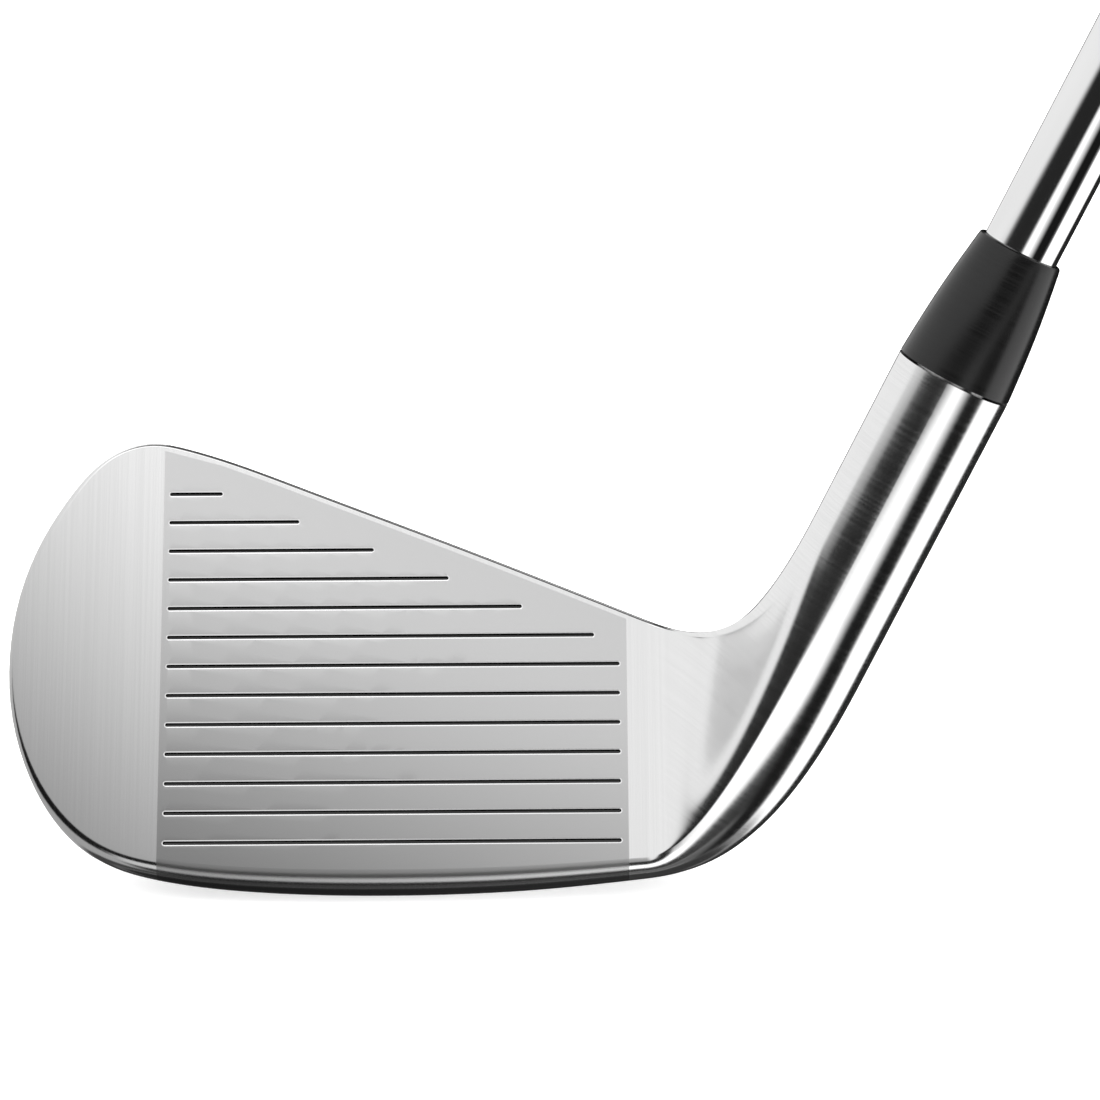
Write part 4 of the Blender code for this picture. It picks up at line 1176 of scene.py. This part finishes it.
OVERHEAD_STRENGTH = 3.5
OVERHEAD_SPREAD = math.radians(170.0)
OVERHEAD_TILT = math.radians(12.0)
overhead = bpy.data.lights.new("overhead", "SUN")
overhead.energy = OVERHEAD_STRENGTH
overhead.angle = OVERHEAD_SPREAD
overhead_object = bpy.data.objects.new("overhead", overhead)
overhead_object.matrix_world = Matrix.Rotation(OVERHEAD_TILT, 4, "X")
overhead_object.visible_glossy = False
bpy.context.scene.collection.objects.link(overhead_object)

# Panels: azimuth from and to (0 is in front, + the heel side), elevation from and to,
# softness across and up, all in degrees, then brightness. Later ones lie on top.
WALL_LIGHT = 0.88
PANELS = (
    (-63.0, 60.0, -5.0, 17.0, 4.0, 3.0, 0.02),
    (-88.0, -26.0, -14.0, 17.0, 5.0, 4.0, 0.02),
    (-40.0, -2.0, 54.0, 66.0, 4.0, 2.0, 1.6),
    (-200.0, 200.0, 70.0, 96.0, 1.0, 4.0, 0.05),
    (15.0, 125.0, 60.0, 76.0, 6.0, 4.0, 0.05),
    (150.0, 200.0, -16.0, 70.0, 6.0, 6.0, 0.04),
    (-200.0, -168.0, -16.0, 34.0, 6.0, 6.0, 0.04),
    (-150.0, 150.0, -62.0, -46.0, 8.0, 4.0, 0.12),
    (-190.0, 190.0, -95.0, -62.0, 1.0, 5.0, 0.04),
    (-30.0, 60.0, -47.0, -27.0, 6.0, 3.0, 0.04),
    (22.0, 59.0, -64.0, -10.0, 9.0, 3.0, 0.01),
    (60.0, 118.0, -57.0, -15.0, 3.0, 4.0, 1.25),
    (118.0, 172.0, -60.0, 8.0, 3.0, 6.0, 0.02),
    (-26.0, 13.0, -26.0, -5.0, 4.0, 2.5, 1.3),
    (-200.0, -140.0, -95.0, -40.0, 6.0, 5.0, 0.04),
    (150.0, 200.0, -95.0, -20.0, 6.0, 5.0, 0.04),
)
# Under the bright ceiling in front, a soft slope of light that rises sooner on the heel side.
SLOPE_FOOT, SLOPE_TOP = 41.0, 53.0
SLOPE_LEAN = 0.8
SLOPE_LEVEL_AT = -12.0
SLOPE_LEFT, SLOPE_RIGHT = -3.0, 50.0
SLOPE_DARK = 0.3

world = bpy.data.worlds.new("studio_walls")
bpy.context.scene.world = world
walls = Nodes(world)
direction = walls.tree.nodes.new("ShaderNodeTexCoord").outputs["Generated"]
across, away, upright = walls.split(direction)
forward = walls.math("MULTIPLY", away, -1.0)
azimuth = walls.math("DEGREES", walls.math("ARCTAN2", across, forward))
elevation = walls.math("DEGREES", walls.math("ARCSINE", upright))
lean = walls.math("MULTIPLY", walls.math("SUBTRACT", azimuth, SLOPE_LEVEL_AT), SLOPE_LEAN)
slope = walls.math("ADD", elevation, lean)
slope_across = walls.between(azimuth, SLOPE_LEFT, SLOPE_RIGHT, 5.0)
slope_fade = walls.ramp(slope, SLOPE_FOOT, SLOPE_TOP, 1.0, 0.0)
in_slope = walls.math("MULTIPLY", slope_across, slope_fade)
in_slope = walls.math("MULTIPLY", in_slope, walls.ramp(elevation, 8.0, 14.0))
light = walls.blend_numbers(in_slope, WALL_LIGHT, SLOPE_DARK)
for left, right, bottom, top, soft_across, soft_up, brightness in PANELS:
    panel_across = walls.between(azimuth, left, right, soft_across)
    panel_up = walls.between(elevation, bottom, top, soft_up)
    in_panel = walls.math("MULTIPLY", panel_across, panel_up)
    light = walls.blend_numbers(in_panel, light, brightness)
background = world.node_tree.nodes["Background"]
walls.join(light, background.inputs["Strength"])
walls.join(grey(1.0), background.inputs["Color"])

bpy.context.scene.view_settings.view_transform = "Standard"
